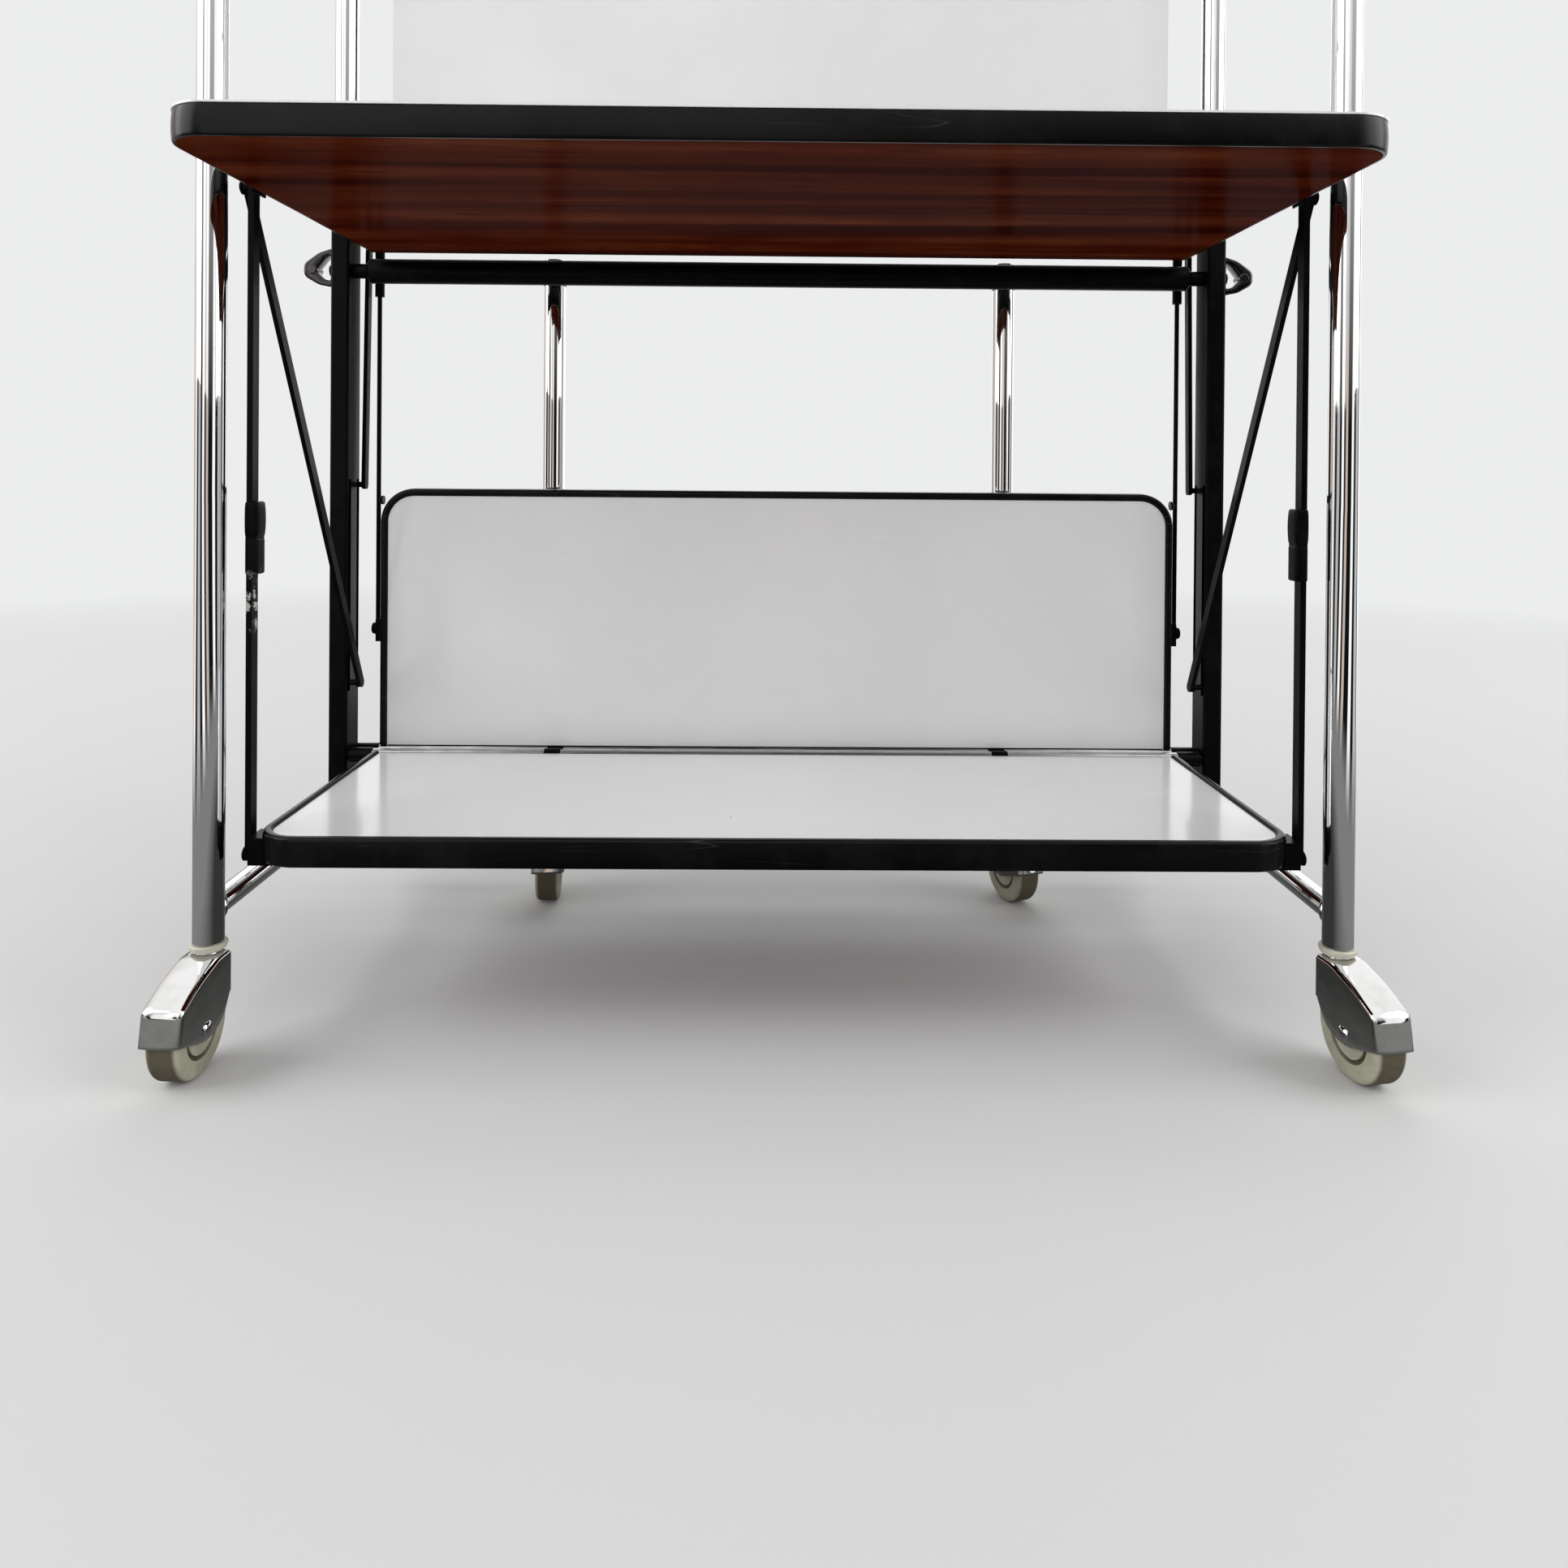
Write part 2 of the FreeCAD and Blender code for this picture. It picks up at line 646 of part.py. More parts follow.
def bracket(tray, half, side, sign, outline):
    """Make a plate on a leaf's side with the stud that its link, and its stay, turn on."""
    name = f"{tray}_{half}_bracket_{side}"
    way = sign if half == "rear" else -sign
    face = f"{half}_plate_face"
    stud_end = f"{half}_stud_end" if tray == "top" else f"lower_{half}_stud_end"
    root = f"{leaf_width(tray, half)} / 2" if tray == "top" else "lower_width / 2 - bracket_grip"
    x_span = (root, face) if way > 0 else (f"-({face})", f"-({root})")
    reach = f"{half}_reach"
    y_span = (f"{reach} - bracket_length / 2", f"{reach} + bracket_length / 2")
    z_span = ("-stud_drop - bracket_foot", "bracket_rise - stud_drop")
    plate = block(f"{name}_plate", x_span, y_span, z_span)
    outward = X_AXIS * way
    at = {"y": reach, "z": "-stud_drop"}
    seat = f"{face} - {half}_plate / 2"
    stud = cylinder(f"{name}_stud", "stud_diameter", f"({stud_end}) - ({seat})", outward, f"{way} * ({seat})", **at)
    head = cylinder(f"{name}_head", "stud_head_diameter", "stud_head", outward, f"{way} * ({stud_end})", **at)
    solid = fuse(name, plate, stud, head)
    if tray == "lower":
        solid = cut(name, solid, outline)
    place_leaf(keep(solid, name), tray, half)


def stud_place(half):
    """Give the place of an upper leaf's studs, as formulas for Y and Z."""
    if half == "front":
        return "post_y - pivot_offset - link_reach", "top_axis - stud_drop"
    return "post_y + pivot_offset + stud_drop", "top_axis + rear_reach"


def flat_bar(label, width, length, thickness, holes):
    """Make a flat bar that hangs from the origin, with round ends and holes at given depths."""
    body = new_body(label)
    outline = new_sketch(body, "YZ_Plane")
    rectangle(outline, f"-{width} / 2", f"-({length}) - {width} / 2", f"{width} / 2", f"{width} / 2")
    pad(body, outline, thickness, both_ways=True)
    dress(body, "Fillet", f"{width} / 2 - running_gap", lambda edge: runs_along(edge, X_AXIS))
    bores = new_sketch(body, "YZ_Plane")
    for depth, diameter in holes:
        circle(bores, "0", f"-({depth})", diameter)
    pocket(body, bores, f"2 * {thickness}", both_ways=True)
    return body


def front_link(side, sign):
    """Make the flat link between the front leaves, with the sleeve where its two halves join."""
    holes = [("0", "stud_diameter + 2 * running_gap"), ("link_length", "stud_diameter + 2 * open_gap")]
    body = flat_bar(f"front_link_{side}", "link_width", "link_length", "front_link_thickness", holes)
    sleeve = new_sketch(body, "YZ_Plane", f"{-sign} * sleeve_shift")
    rectangle(
        sleeve, "-sleeve_depth / 2", "-sleeve_drop - sleeve_height", "sleeve_depth / 2", "-sleeve_drop"
    )
    pad(body, sleeve, "sleeve_width", both_ways=True)
    y, z = stud_place("front")
    place(body, f"{sign} * front_link_lane", y, z)


def rear_link(side, sign):
    """Make the link between the rear leaves, a thin rod that runs up into a tube, with an eye at each end."""
    name = f"rear_link_{side}"
    half_eye = "rear_eye_thickness / 2"
    lengths = {"upper": "0", "lower": "-link_length"}
    rod = cylinder(f"{name}_rod", "rear_rod_diameter", "link_length", z="-link_length")
    tube = cylinder(
        f"{name}_tube", "rear_tube_diameter", "rear_tube_length", z="-rear_tube_drop - rear_tube_length"
    )
    eyes = [
        cylinder(f"{name}_{end}_eye", "rear_eye_diameter", "rear_eye_thickness", X_AXIS, f"-{half_eye}", z=height)
        for end, height in lengths.items()
    ]
    bores = [
        cylinder(f"{name}_{end}_bore", bore, "rear_eye_diameter", X_AXIS, "-rear_eye_diameter / 2", z=height)
        for (end, height), bore in zip(
            lengths.items(), ("stud_diameter + 2 * running_gap", "stud_diameter + 2 * open_gap")
        )
    ]
    link = keep(cut(name, fuse(f"{name}_solid", rod, tube, *eyes), *bores), name)
    y, z = stud_place("rear")
    place(link, f"{sign} * rear_link_lane", y, z)


def stay(half, side, sign):
    """Make the flat stay under an upper leaf, with the foot that runs in the post's slot."""
    length, lane = f"{half}_stay_length", f"{half}_stay_lane"
    holes = [("0", "stud_diameter + 2 * running_gap")]
    body = flat_bar(f"{half}_stay_{side}", "stay_width", length, "stay_thickness", holes)
    foot = new_sketch(body, "YZ_Plane")
    circle(foot, "0", f"-{length}", "stud_diameter")
    pad(body, foot, f"inner_face - foot_gap - {lane}", backward=sign < 0)
    y, z = stud_place(half)
    if half == "front":
        lean, axis = "atan(stay_run / stay_rise)", X_AXIS
    else:
        lean, axis = f"asin(stay_lean / {length})", -X_AXIS
    place(body, f"{sign} * {lane}", y, z, FreeCAD.Rotation(axis, 1), lean)


def gate(side, sign):
    """Make a rear leg with the arm and barrel that it swings on."""
    name = f"{side}_gate_leg"
    leg_x, pivot_x = f"{sign} * gate_leg_spacing / 2", f"{sign} * gate_pivot_x"
    height = "gate_leg_top - castor_height"
    leg = cylinder(f"{name}_tube", "leg_diameter", height, Z_AXIS, leg_x, "gate_y", "castor_height")
    arm = cylinder(f"{name}_arm", "strut_diameter", "gate_reach", X_AXIS * sign, leg_x, "gate_y", "strut_height")
    barrel = cylinder(f"{name}_barrel", "barrel_diameter", "barrel_height", Z_AXIS, pivot_x, "gate_y", "barrel_bottom")
    bore = cylinder(
        f"{name}_bore", "leg_bore", f"{height} - gate_leg_cap", Z_AXIS, leg_x, "gate_y", "castor_height"
    )
    pin_hole = cylinder(
        f"{name}_pin_hole",
        "gate_pin_diameter + 2 * running_gap",
        "barrel_height + 2 * overrun",
        Z_AXIS,
        pivot_x,
        "gate_y",
        "barrel_bottom - overrun",
    )
    keep(cut(name, fuse(f"{name}_solid", leg, arm, barrel), bore, pin_hole), name)


def round_tip(body, reach, radius):
    """Round the edges of a lever that stand at a distance from the post."""
    reach_x = value(reach)
    dress(
        body,
        "Fillet",
        radius,
        lambda edge: runs_along(edge, Y_AXIS) and near(abs(edge.CenterOfMass.x), reach_x),
    )


def lever(side, sign):
    """Make a catch lever, a strip bent into a blunt loop that turns on a stud outside the post."""
    body = new_body(f"{side}_lever")
    base, tip = "flat_gap", "flat_gap + lever_reach"
    loop = new_sketch(body, "XZ_Plane")
    polygon(loop, [
        (f"{sign} * ({base})", "-lever_height / 2"),
        (f"{sign} * ({tip})", "-lever_nose / 2"),
        (f"{sign} * ({tip})", "lever_nose / 2"),
        (f"{sign} * ({base})", "lever_height / 2"),
    ])
    pad(body, loop, "lever_depth", both_ways=True)
    round_tip(body, tip, "lever_round")
    hollow = new_sketch(body, "XZ_Plane")
    polygon(hollow, [
        (f"{sign} * ({base} + lever_strip)", "-lever_height / 2 + 2 * lever_strip"),
        (f"{sign} * ({tip} - lever_strip)", "-lever_nose / 2 + lever_strip"),
        (f"{sign} * ({tip} - lever_strip)", "lever_nose / 2 - lever_strip"),
        (f"{sign} * ({base} + lever_strip)", "lever_height / 2 - 2 * lever_strip"),
    ])
    pocket(body, hollow, "2 * lever_depth", both_ways=True)
    round_tip(body, f"{tip} - lever_strip", "lever_round - lever_strip")
    rivet = new_sketch(body, "XZ_Plane")
    circle(rivet, f"{sign} * ({tip} - lever_rivet_inset)", "0", "lever_rivet_diameter")
    pad(body, rivet, "lever_depth + 2 * lever_rivet_proud", both_ways=True)
    eye = new_sketch(body, "YZ_Plane")
    circle(eye, "0", "0", "lever_pin_diameter + 2 * running_gap")
    pocket(body, eye, "flat_gap + lever_strip + lever_head", backward=sign > 0)
    place(body, x=f"{sign} * outer_face", y="post_y", z="crossbar_height")


def collar(name, leg_x, leg_y):
    """Make the collar that plugs a leg's end and guides a castor's stem."""
    flange = cylinder(f"{name}_flange", "collar_diameter", "collar_height", z="castor_height - collar_height")
    plug = cylinder(f"{name}_plug", "leg_bore", "collar_plug", z="castor_height")
    bore = cylinder(
        f"{name}_bore",
        "stem_diameter + 2 * running_gap",
        "collar_height + collar_plug + 2 * overrun",
        z="castor_height - collar_height - overrun",
    )
    place(keep(cut(name, fuse(f"{name}_solid", flange, plug), bore), name), leg_x, leg_y)


def fork(name):
    """Make a castor's hood, its cheeks, the stem on top and the axle through it, trailing to -Y."""
    body = new_body(name)
    profile = new_sketch(body, "YZ_Plane")
    polygon(profile, [
        ("hood_back", "cheek_back"),
        ("hood_back", "hood_top"),
        ("-hood_flat", "hood_top"),
        ("-nose_reach", "nose_top"),
        ("-nose_reach - nose_lip", "nose_bottom"),
        ("-trail", "cheek_bottom"),
    ])
    pad(body, profile, "hood_width", both_ways=True)
    for radius, along, height in (
        ("cheek_round", "-trail", "cheek_bottom"),
        ("heel_round", "hood_back", "cheek_back"),
        ("nose_round", "-nose_reach", "nose_top"),
    ):
        corner_y, corner_z = value(along), value(height)
        dress(
            body,
            "Fillet",
            radius,
            lambda edge: runs_along(edge, X_AXIS)
            and near(edge.CenterOfMass.y, corner_y)
            and near(edge.CenterOfMass.z, corner_z),
        )
    side_x, heel, sill = value("hood_width / 2"), value("hood_back"), value("nose_bottom")

    def frames_roof(edge):
        middle = edge.CenterOfMass
        on_side = near(abs(middle.x), side_x) and near(edge.BoundBox.XLength, 0)
        return on_side and edge.BoundBox.ZMin > sill - value("running_gap") and middle.y < heel / 2 and middle.z > sill

    dress(body, "Fillet", "hood_edge", frames_roof)
    hollow = new_sketch(body, "YZ_Plane")
    polygon(hollow, [
        ("hood_back - hood_wall", "cheek_bottom - overrun"),
        ("hood_back - hood_wall", "hood_top - hood_roof"),
        ("-hood_flat", "hood_top - hood_roof"),
        ("-nose_reach + hood_wall", "nose_top - hood_roof"),
        ("-nose_reach - nose_lip + hood_wall", "nose_bottom"),
        ("-nose_reach - nose_lip + hood_wall", "cheek_bottom - overrun"),
    ])
    pocket(body, hollow, "hood_width - 2 * hood_wall", both_ways=True)
    stem = new_sketch(body, "XY_Plane", "hood_top - hood_roof")
    circle(stem, "0", "0", "stem_diameter")
    pad(body, stem, "hood_roof + stem_length")
    axle = new_sketch(body, "YZ_Plane")
    circle(axle, "-trail", "wheel_radius", "axle_diameter")
    pad(body, axle, "hood_width + 2 * axle_head", both_ways=True)
    return body


def wheel(name):
    """Make a castor wheel with rounded tread edges and a ring moulded into each face."""
    body = new_body(name)
    disc = new_sketch(body, "YZ_Plane")
    circle(disc, "-trail", "wheel_radius", "wheel_diameter")
    pad(body, disc, "wheel_width", both_ways=True)
    dress(body, "Fillet", "wheel_round", lambda edge: edge.Curve.TypeId == "Part::GeomCircle")
    for way in (-1, 1):
        ring = new_sketch(body, "YZ_Plane", f"{way} * wheel_width / 2")
        circle(ring, "-trail", "wheel_radius", "wheel_ring_diameter")
        circle(ring, "-trail", "wheel_radius", "wheel_ring_diameter - 2 * wheel_ring_width")
        pocket(body, ring, "wheel_ring_depth", backward=way < 0)
    bore = new_sketch(body, "YZ_Plane")
    circle(bore, "-trail", "wheel_radius", "axle_diameter + 2 * running_gap")
    pocket(body, bore, "2 * wheel_width", both_ways=True)
    return body


def castor(name, leg_x, leg_y, axis, swivel):
    """Make a castor and stand it under its leg, swivelled about the leg's axis."""
    collar(f"{name}_collar", leg_x, leg_y)
    for piece in (fork(f"{name}_fork"), wheel(f"{name}_wheel")):
        place(piece, leg_x, leg_y, rotation=FreeCAD.Rotation(axis, 1), angle=f"{swivel} * 1 deg")


crossbars()
lower_outline = outline_tool()
for tray_name in ("top", "lower"):
    for half_name in ("front", "rear"):
        leaf(tray_name, half_name)
for side_name, side_sign in SIDES.items():
    hoop(side_name, side_sign)
    post(side_name, side_sign)
    strut(side_name, side_sign)
    gate_bracket(side_name, side_sign)
    gate(side_name, side_sign)
    lever(side_name, side_sign)
    front_link(side_name, side_sign)
    rear_link(side_name, side_sign)
    for half_name in ("front", "rear"):
        stay(half_name, side_name, side_sign)
        for tray_name in ("top", "lower"):
            bracket(tray_name, half_name, side_name, side_sign, lower_outline)
    castor(
        f"front_{side_name}",
        f"{side_sign} * leg_spacing / 2",
        "front_leg_y",
        Z_AXIS * side_sign,
        f"front_{side_name}_swivel",
    )
    castor(
        f"rear_{side_name}",
        f"{side_sign} * gate_leg_spacing / 2",
        "gate_y",
        Z_AXIS,
        f"rear_{side_name}_swivel",
    )

doc.recompute()
for item in doc.Objects:
    if "Invalid" in item.State or "Error" in item.State:
        raise RuntimeError(f"{item.Label} did not rebuild: {item.State}")
for piece in pieces:
    if piece.Shape.isNull() or not piece.Shape.isValid() or len(piece.Shape.Solids) != 1:
        raise RuntimeError(f"{piece.Label} is not one sound solid")
for piece in pieces:
    piece.Shape.exportStep(f"parts/{piece.Label}.step")
print(len(pieces), "pieces written")
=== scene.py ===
import json
import logging
import math
from dataclasses import dataclass
from enum import Enum
from functools import cache
from typing import Callable, Optional, Sequence, Union

import bmesh
import bpy
import numpy as np
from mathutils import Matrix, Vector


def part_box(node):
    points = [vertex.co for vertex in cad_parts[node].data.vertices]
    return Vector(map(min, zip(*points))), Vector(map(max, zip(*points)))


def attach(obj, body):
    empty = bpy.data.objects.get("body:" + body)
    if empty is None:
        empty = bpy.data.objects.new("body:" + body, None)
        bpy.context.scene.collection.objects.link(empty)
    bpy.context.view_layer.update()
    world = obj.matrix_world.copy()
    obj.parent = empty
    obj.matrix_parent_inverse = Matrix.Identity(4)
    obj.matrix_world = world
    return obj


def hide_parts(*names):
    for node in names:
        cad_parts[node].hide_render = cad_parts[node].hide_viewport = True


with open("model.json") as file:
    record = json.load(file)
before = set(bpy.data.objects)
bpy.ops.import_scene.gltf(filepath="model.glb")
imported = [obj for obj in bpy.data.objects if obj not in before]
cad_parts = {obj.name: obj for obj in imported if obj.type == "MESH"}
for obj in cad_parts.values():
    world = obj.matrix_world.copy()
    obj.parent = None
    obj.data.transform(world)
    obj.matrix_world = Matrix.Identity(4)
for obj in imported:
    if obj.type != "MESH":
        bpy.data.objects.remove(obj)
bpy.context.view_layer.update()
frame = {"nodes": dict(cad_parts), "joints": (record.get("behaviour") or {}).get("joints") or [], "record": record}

LOG = logging.getLogger("trolley")
Array = np.ndarray
Point = Sequence[float]
Line = Sequence[Point]
Tone = tuple[float, ...]
Socket = bpy.types.NodeSocket
Link = Union[float, Sequence[float], Socket]
X_WAY, Y_WAY, Z_WAY = np.eye(3)
SMOOTH_LIMIT = math.radians(38)
MERGE_GAP = 1e-6
TUBE_EDGE = 0.0002
DOME_SWEEP = np.pi / 2 * 0.94


class Half(Enum):
    """The two halves of a tray, one each side of the posts."""

    FRONT = "front"
    REAR = "rear"


class Tray(Enum):
    """The two trays, one above the other."""

    TOP = "top"
    LOWER = "lower"


class Side(Enum):
    """The two ends of the trolley, with the sign of their X."""

    LEFT = -1
    RIGHT = 1

    @property
    def word(self) -> str:
        """The side's name as the nodes spell it."""
        return self.name.lower()


# Surfaces


@dataclass
class Shell:
    """A patch of surface: points as rows of x, y and z, and faces as tuples of point numbers."""

    points: Array
    faces: list[tuple[int, ...]]

    def moved(self, change: Callable[[Array], Array]) -> "Shell":
        """The same faces on points that a function has moved."""
        return Shell(change(self.points), self.faces)


def joined(shells: Sequence[Shell]) -> Shell:
    """One patch that holds the points and faces of several, in order."""
    starts = np.cumsum([0] + [len(shell.points) for shell in shells[:-1]]).tolist()
    faces = [tuple(start + i for i in face) for start, shell in zip(starts, shells) for face in shell.faces]
    return Shell(np.concatenate([shell.points for shell in shells]), faces)


def grid_shell(grid: Array, wrap: bool = False, caps: bool = False, ring: bool = False) -> Shell:
    """Turn a grid of points into quads.

    Args:
        grid: points in rows and columns, as an array of rows x columns x 3.
        wrap: join each row's last column to its first.
        caps: close the first and last row with one flat face each.
        ring: join the last row to the first.

    Returns:
        The patch of quads. Quad (i, j) has the corners (i, j), (i, j+1), (i+1, j+1) and (i+1, j).
    """
    rows, columns = grid.shape[:2]
    i, j = np.indices((rows if ring else rows - 1, columns if wrap else columns - 1)).reshape(2, -1)
    below, right = (i + 1) % rows, (j + 1) % columns
    corners = [i * columns + j, i * columns + right, below * columns + right, below * columns + j]
    faces = [tuple(face) for face in np.stack(corners, axis=1).tolist()]
    if caps:
        faces.append(tuple(range(columns)))
        faces.append(tuple(range((rows - 1) * columns, rows * columns)))
    return Shell(grid.reshape(-1, 3), faces)


def rounded(corners: Line, radii: Union[float, Point], steps: int, closed: bool = False) -> Array:
    """Draw a flat line through corners, with each corner turned on a tangent arc.

    An arc of radius r at a corner of angle a starts r / tan(a / 2) before the corner, and its centre is
    on the line that halves the angle, r / sin(a / 2) from the corner.

    Args:
        corners: the corners as pairs.
        radii: one radius for all corners, or one for each.
        steps: points on each arc.
        closed: whether the line ends where it starts.

    Returns:
        The line's points, as rows of two numbers.
    """
    points = np.asarray(corners, float)
    sizes = np.broadcast_to(np.asarray(radii, float), (len(points),))
    line: list[Array] = []
    for k, corner in enumerate(points):
        if sizes[k] <= 0 or (not closed and k in (0, len(points) - 1)):
            line.append(corner[None])
            continue
        to_last, to_next = points[k - 1] - corner, points[(k + 1) % len(points)] - corner
        to_last, to_next = to_last / np.linalg.norm(to_last), to_next / np.linalg.norm(to_next)
        angle = math.acos(float(np.clip(to_last @ to_next, -1, 1)))
        middle = to_last + to_next
        centre = corner + middle / np.linalg.norm(middle) * sizes[k] / math.sin(angle / 2)
        reach = sizes[k] / math.tan(angle / 2)
        first, last = corner + to_last * reach - centre, corner + to_next * reach - centre
        turn = math.atan2(first[0] * last[1] - first[1] * last[0], float(first @ last))
        swing = np.linspace(0, turn, steps)
        spin = np.stack([np.cos(swing), -np.sin(swing), np.sin(swing), np.cos(swing)], axis=1)
        line.append(centre + spin.reshape(-1, 2, 2) @ first)
    return np.concatenate(line)


def evenly(line: Array, count: int) -> Array:
    """Space a number of points evenly along a line, by its length so far."""
    reach = np.concatenate([[0.0], np.cumsum(np.linalg.norm(np.diff(line, axis=0), axis=1))])
    stops = np.linspace(0, reach[-1], count)
    return np.stack([np.interp(stops, reach, part) for part in line.T], axis=1)


def carried(section: Array, path: Array, across: Array) -> Shell:
    """Carry a closed section along a flat path.

    The point for path step i and section step j is path[i] + section[j, 0] * n[i] + section[j, 1] * across,
    where n is the path's direction crossed with across.

    Args:
        section: the section as rows of (out along n, along across).
        path: the path's points in three dimensions.
        across: the unit normal of the path's plane.

    Returns:
        The carried surface, with flat ends.
    """
    run = np.gradient(path, axis=0)
    run /= np.linalg.norm(run, axis=1, keepdims=True)
    sideways = np.cross(run, across)
    grid = path[:, None] + section[None, :, :1] * sideways[:, None] + section[None, :, 1:] * across
    return grid_shell(grid, wrap=True, caps=True)


def circle(radius: float, sides: int) -> Array:
    """Points on a circle, radius times the cosine and sine of even steps of a turn."""
    turn = np.arange(sides) * 2 * np.pi / sides
    return radius * np.stack([np.cos(turn), np.sin(turn)], axis=1)


def turned(profile: Line, start: Point, axis: Point, sides: int = 40, bored: bool = False) -> Shell:
    """Turn a profile about an axis, as on a lathe.

    The point for profile step i and angle t is start + height[i] * axis + radius[i] * (cos t * u +
    sin t * v), where u and v are square to the axis and to each other.

    Args:
        profile: rows of (radius, height along the axis), from one end to the other.
        start: the point where height is zero.
        axis: the axis's direction, which is X, Y or Z, either way.
        sides: how many steps make a full turn.
        bored: whether a bore joins the two ends, in place of a flat face at each.

    Returns:
        The turned surface, closed.
    """
    line = np.asarray(profile, float)
    way = np.asarray(axis, float)
    aside = np.cross(way, X_WAY if way[2] else Z_WAY)
    spokes = circle(1.0, sides) @ np.stack([aside, np.cross(way, aside)])
    grid = np.asarray(start, float) + line[:, None, 1:] * way + line[:, None, :1] * spokes[None]
    return grid_shell(grid, wrap=True, caps=not bored, ring=bored)


def rod(radius: float, length: float, edge: float, start: Point, axis: Point, sides: int = 40) -> Shell:
    """A plain rod from start along an axis, with its two ends bevelled by edge."""
    profile = [(radius - edge, 0.0), (radius, edge), (radius, length - edge), (radius - edge, length)]
    return turned(profile, start, axis, sides)


def dome(radius: float, rise: float, foot: float, steps: int = 7, sweep: float = DOME_SWEEP) -> list[Point]:
    """A rivet head's profile: a short foot, then a quarter ellipse that ends in a small flat."""
    turn = np.linspace(0, sweep, steps)
    return [(radius, 0.0)] + [(radius * math.cos(t), foot + rise * math.sin(t)) for t in turn]


def both_ways(half: list[Point]) -> list[Point]:
    """A profile that is the same either side of height zero, from the half of it above."""
    return [(radius, -height) for radius, height in reversed(half) if height > 0] + half


# Shaders


class Tree:
    """A short way to add and wire shader nodes."""

    def __init__(self, tree: bpy.types.NodeTree) -> None:
        """Start on an emptied node tree."""
        self.tree = tree
        tree.nodes.clear()

    def add(self, kind: str, settings: Optional[dict[str, object]] = None, **inputs: Link) -> bpy.types.Node:
        """Add a node, set its properties and fill its inputs.

        Args:
            kind: the node's type.
            settings: properties of the node itself.
            inputs: values or sockets by input name, with _ for a space and in_N for input number N.

        Returns:
            The new node.
        """
        node = self.tree.nodes.new(kind)
        for name, setting in (settings or {}).items():
            setattr(node, name, setting)
        for name, value in inputs.items():
            socket = node.inputs[int(name[3:]) if name.startswith("in_") else name.replace("_", " ")]
            if isinstance(value, Socket):
                self.tree.links.new(value, socket)
            else:
                socket.default_value = value
        return node

    def math(self, operation: str, *values: Link) -> Socket:
        """Add a Math node on up to three values and give its output."""
        inputs = {f"in_{k}": value for k, value in enumerate(values)}
        return self.add("ShaderNodeMath", {"operation": operation}, **inputs).outputs[0]

    def times(self, value: Link, factor: Link) -> Socket:
        """Multiply two values."""
        return self.math("MULTIPLY", value, factor)

    def span(self, value: Link, low: Link, high: Link, to_low: float = 0.0, to_high: float = 1.0) -> Socket:
        """Map a value from one span to another, held within it."""
        spread = {"in_0": value, "in_1": low, "in_2": high, "in_3": to_low, "in_4": to_high}
        return self.add("ShaderNodeMapRange", {"clamp": True}, **spread).outputs[0]

    def between(self, mask: Link, low: float, high: float) -> Socket:
        """A value that goes from low to high as a mask goes from zero to one."""
        return self.span(mask, 0.0, 1.0, low, high)

    def mix(self, share: Link, first: Link, second: Link) -> Socket:
        """Mix two colours by a share."""
        settings = {"data_type": "RGBA"}
        return self.add("ShaderNodeMix", settings, in_0=share, in_6=first, in_7=second).outputs[2]

    def noise(self, place: Socket, scale: Link, detail: float, **more: Link) -> Socket:
        """Add a noise texture and give its value."""
        return self.add("ShaderNodeTexNoise", Vector=place, Scale=scale, Detail=detail, **more).outputs[0]

    def scaled(self, vector: Socket, ways: Link) -> Socket:
        """Multiply a vector by another, part by part."""
        return self.add("ShaderNodeVectorMath", {"operation": "MULTIPLY"}, in_0=vector, in_1=ways).outputs[0]


class Group(Tree):
    """A shader node group that reads a Vector and some numbers."""

    def __init__(self, name: str, reads: dict[str, float], outputs: list[str], kind: str = "Float") -> None:
        """Start the group with its sockets.

        Args:
            name: the group's name.
            reads: for each number that it reads, the default.
            outputs: the names of its outputs.
            kind: the outputs' type, Float or Color.
        """
        group = bpy.data.node_groups.new(name, "ShaderNodeTree")
        group.interface.new_socket("Vector", in_out="INPUT", socket_type="NodeSocketVector")
        for label, default in reads.items():
            socket = group.interface.new_socket(label, in_out="INPUT", socket_type="NodeSocketFloat")
            socket.default_value = default
        for label in outputs:
            group.interface.new_socket(label, in_out="OUTPUT", socket_type=f"NodeSocket{kind}")
        super().__init__(group)
        self.given = self.add("NodeGroupInput").outputs
        self.results = self.add("NodeGroupOutput").inputs

    def give(self, **results: Socket) -> bpy.types.NodeTree:
        """Wire the outputs by name, and return the finished group."""
        for name, socket in results.items():
            self.tree.links.new(socket, self.results[name])
        return self.tree


@cache
def blotch_group() -> bpy.types.NodeTree:
    """Soft uneven patches, for dust, handling marks and drift in gloss.

    Returns:
        A group whose Mask is two sizes of noise added together and stretched between Low and High.
    """
    fineness, wide_share, fine_share = 5.3, 0.7, 0.3
    group = Group("Blotches", {"Scale": 20.0, "Low": 0.4, "High": 0.7}, ["Mask"])
    place, scale = group.given["Vector"], group.given["Scale"]
    wide = group.noise(place, scale, detail=4.0)
    fine = group.noise(place, group.times(scale, fineness), detail=3.0)
    both = group.math("ADD", group.times(wide, wide_share), group.times(fine, fine_share))
    return group.give(Mask=group.span(both, group.given["Low"], group.given["High"]))


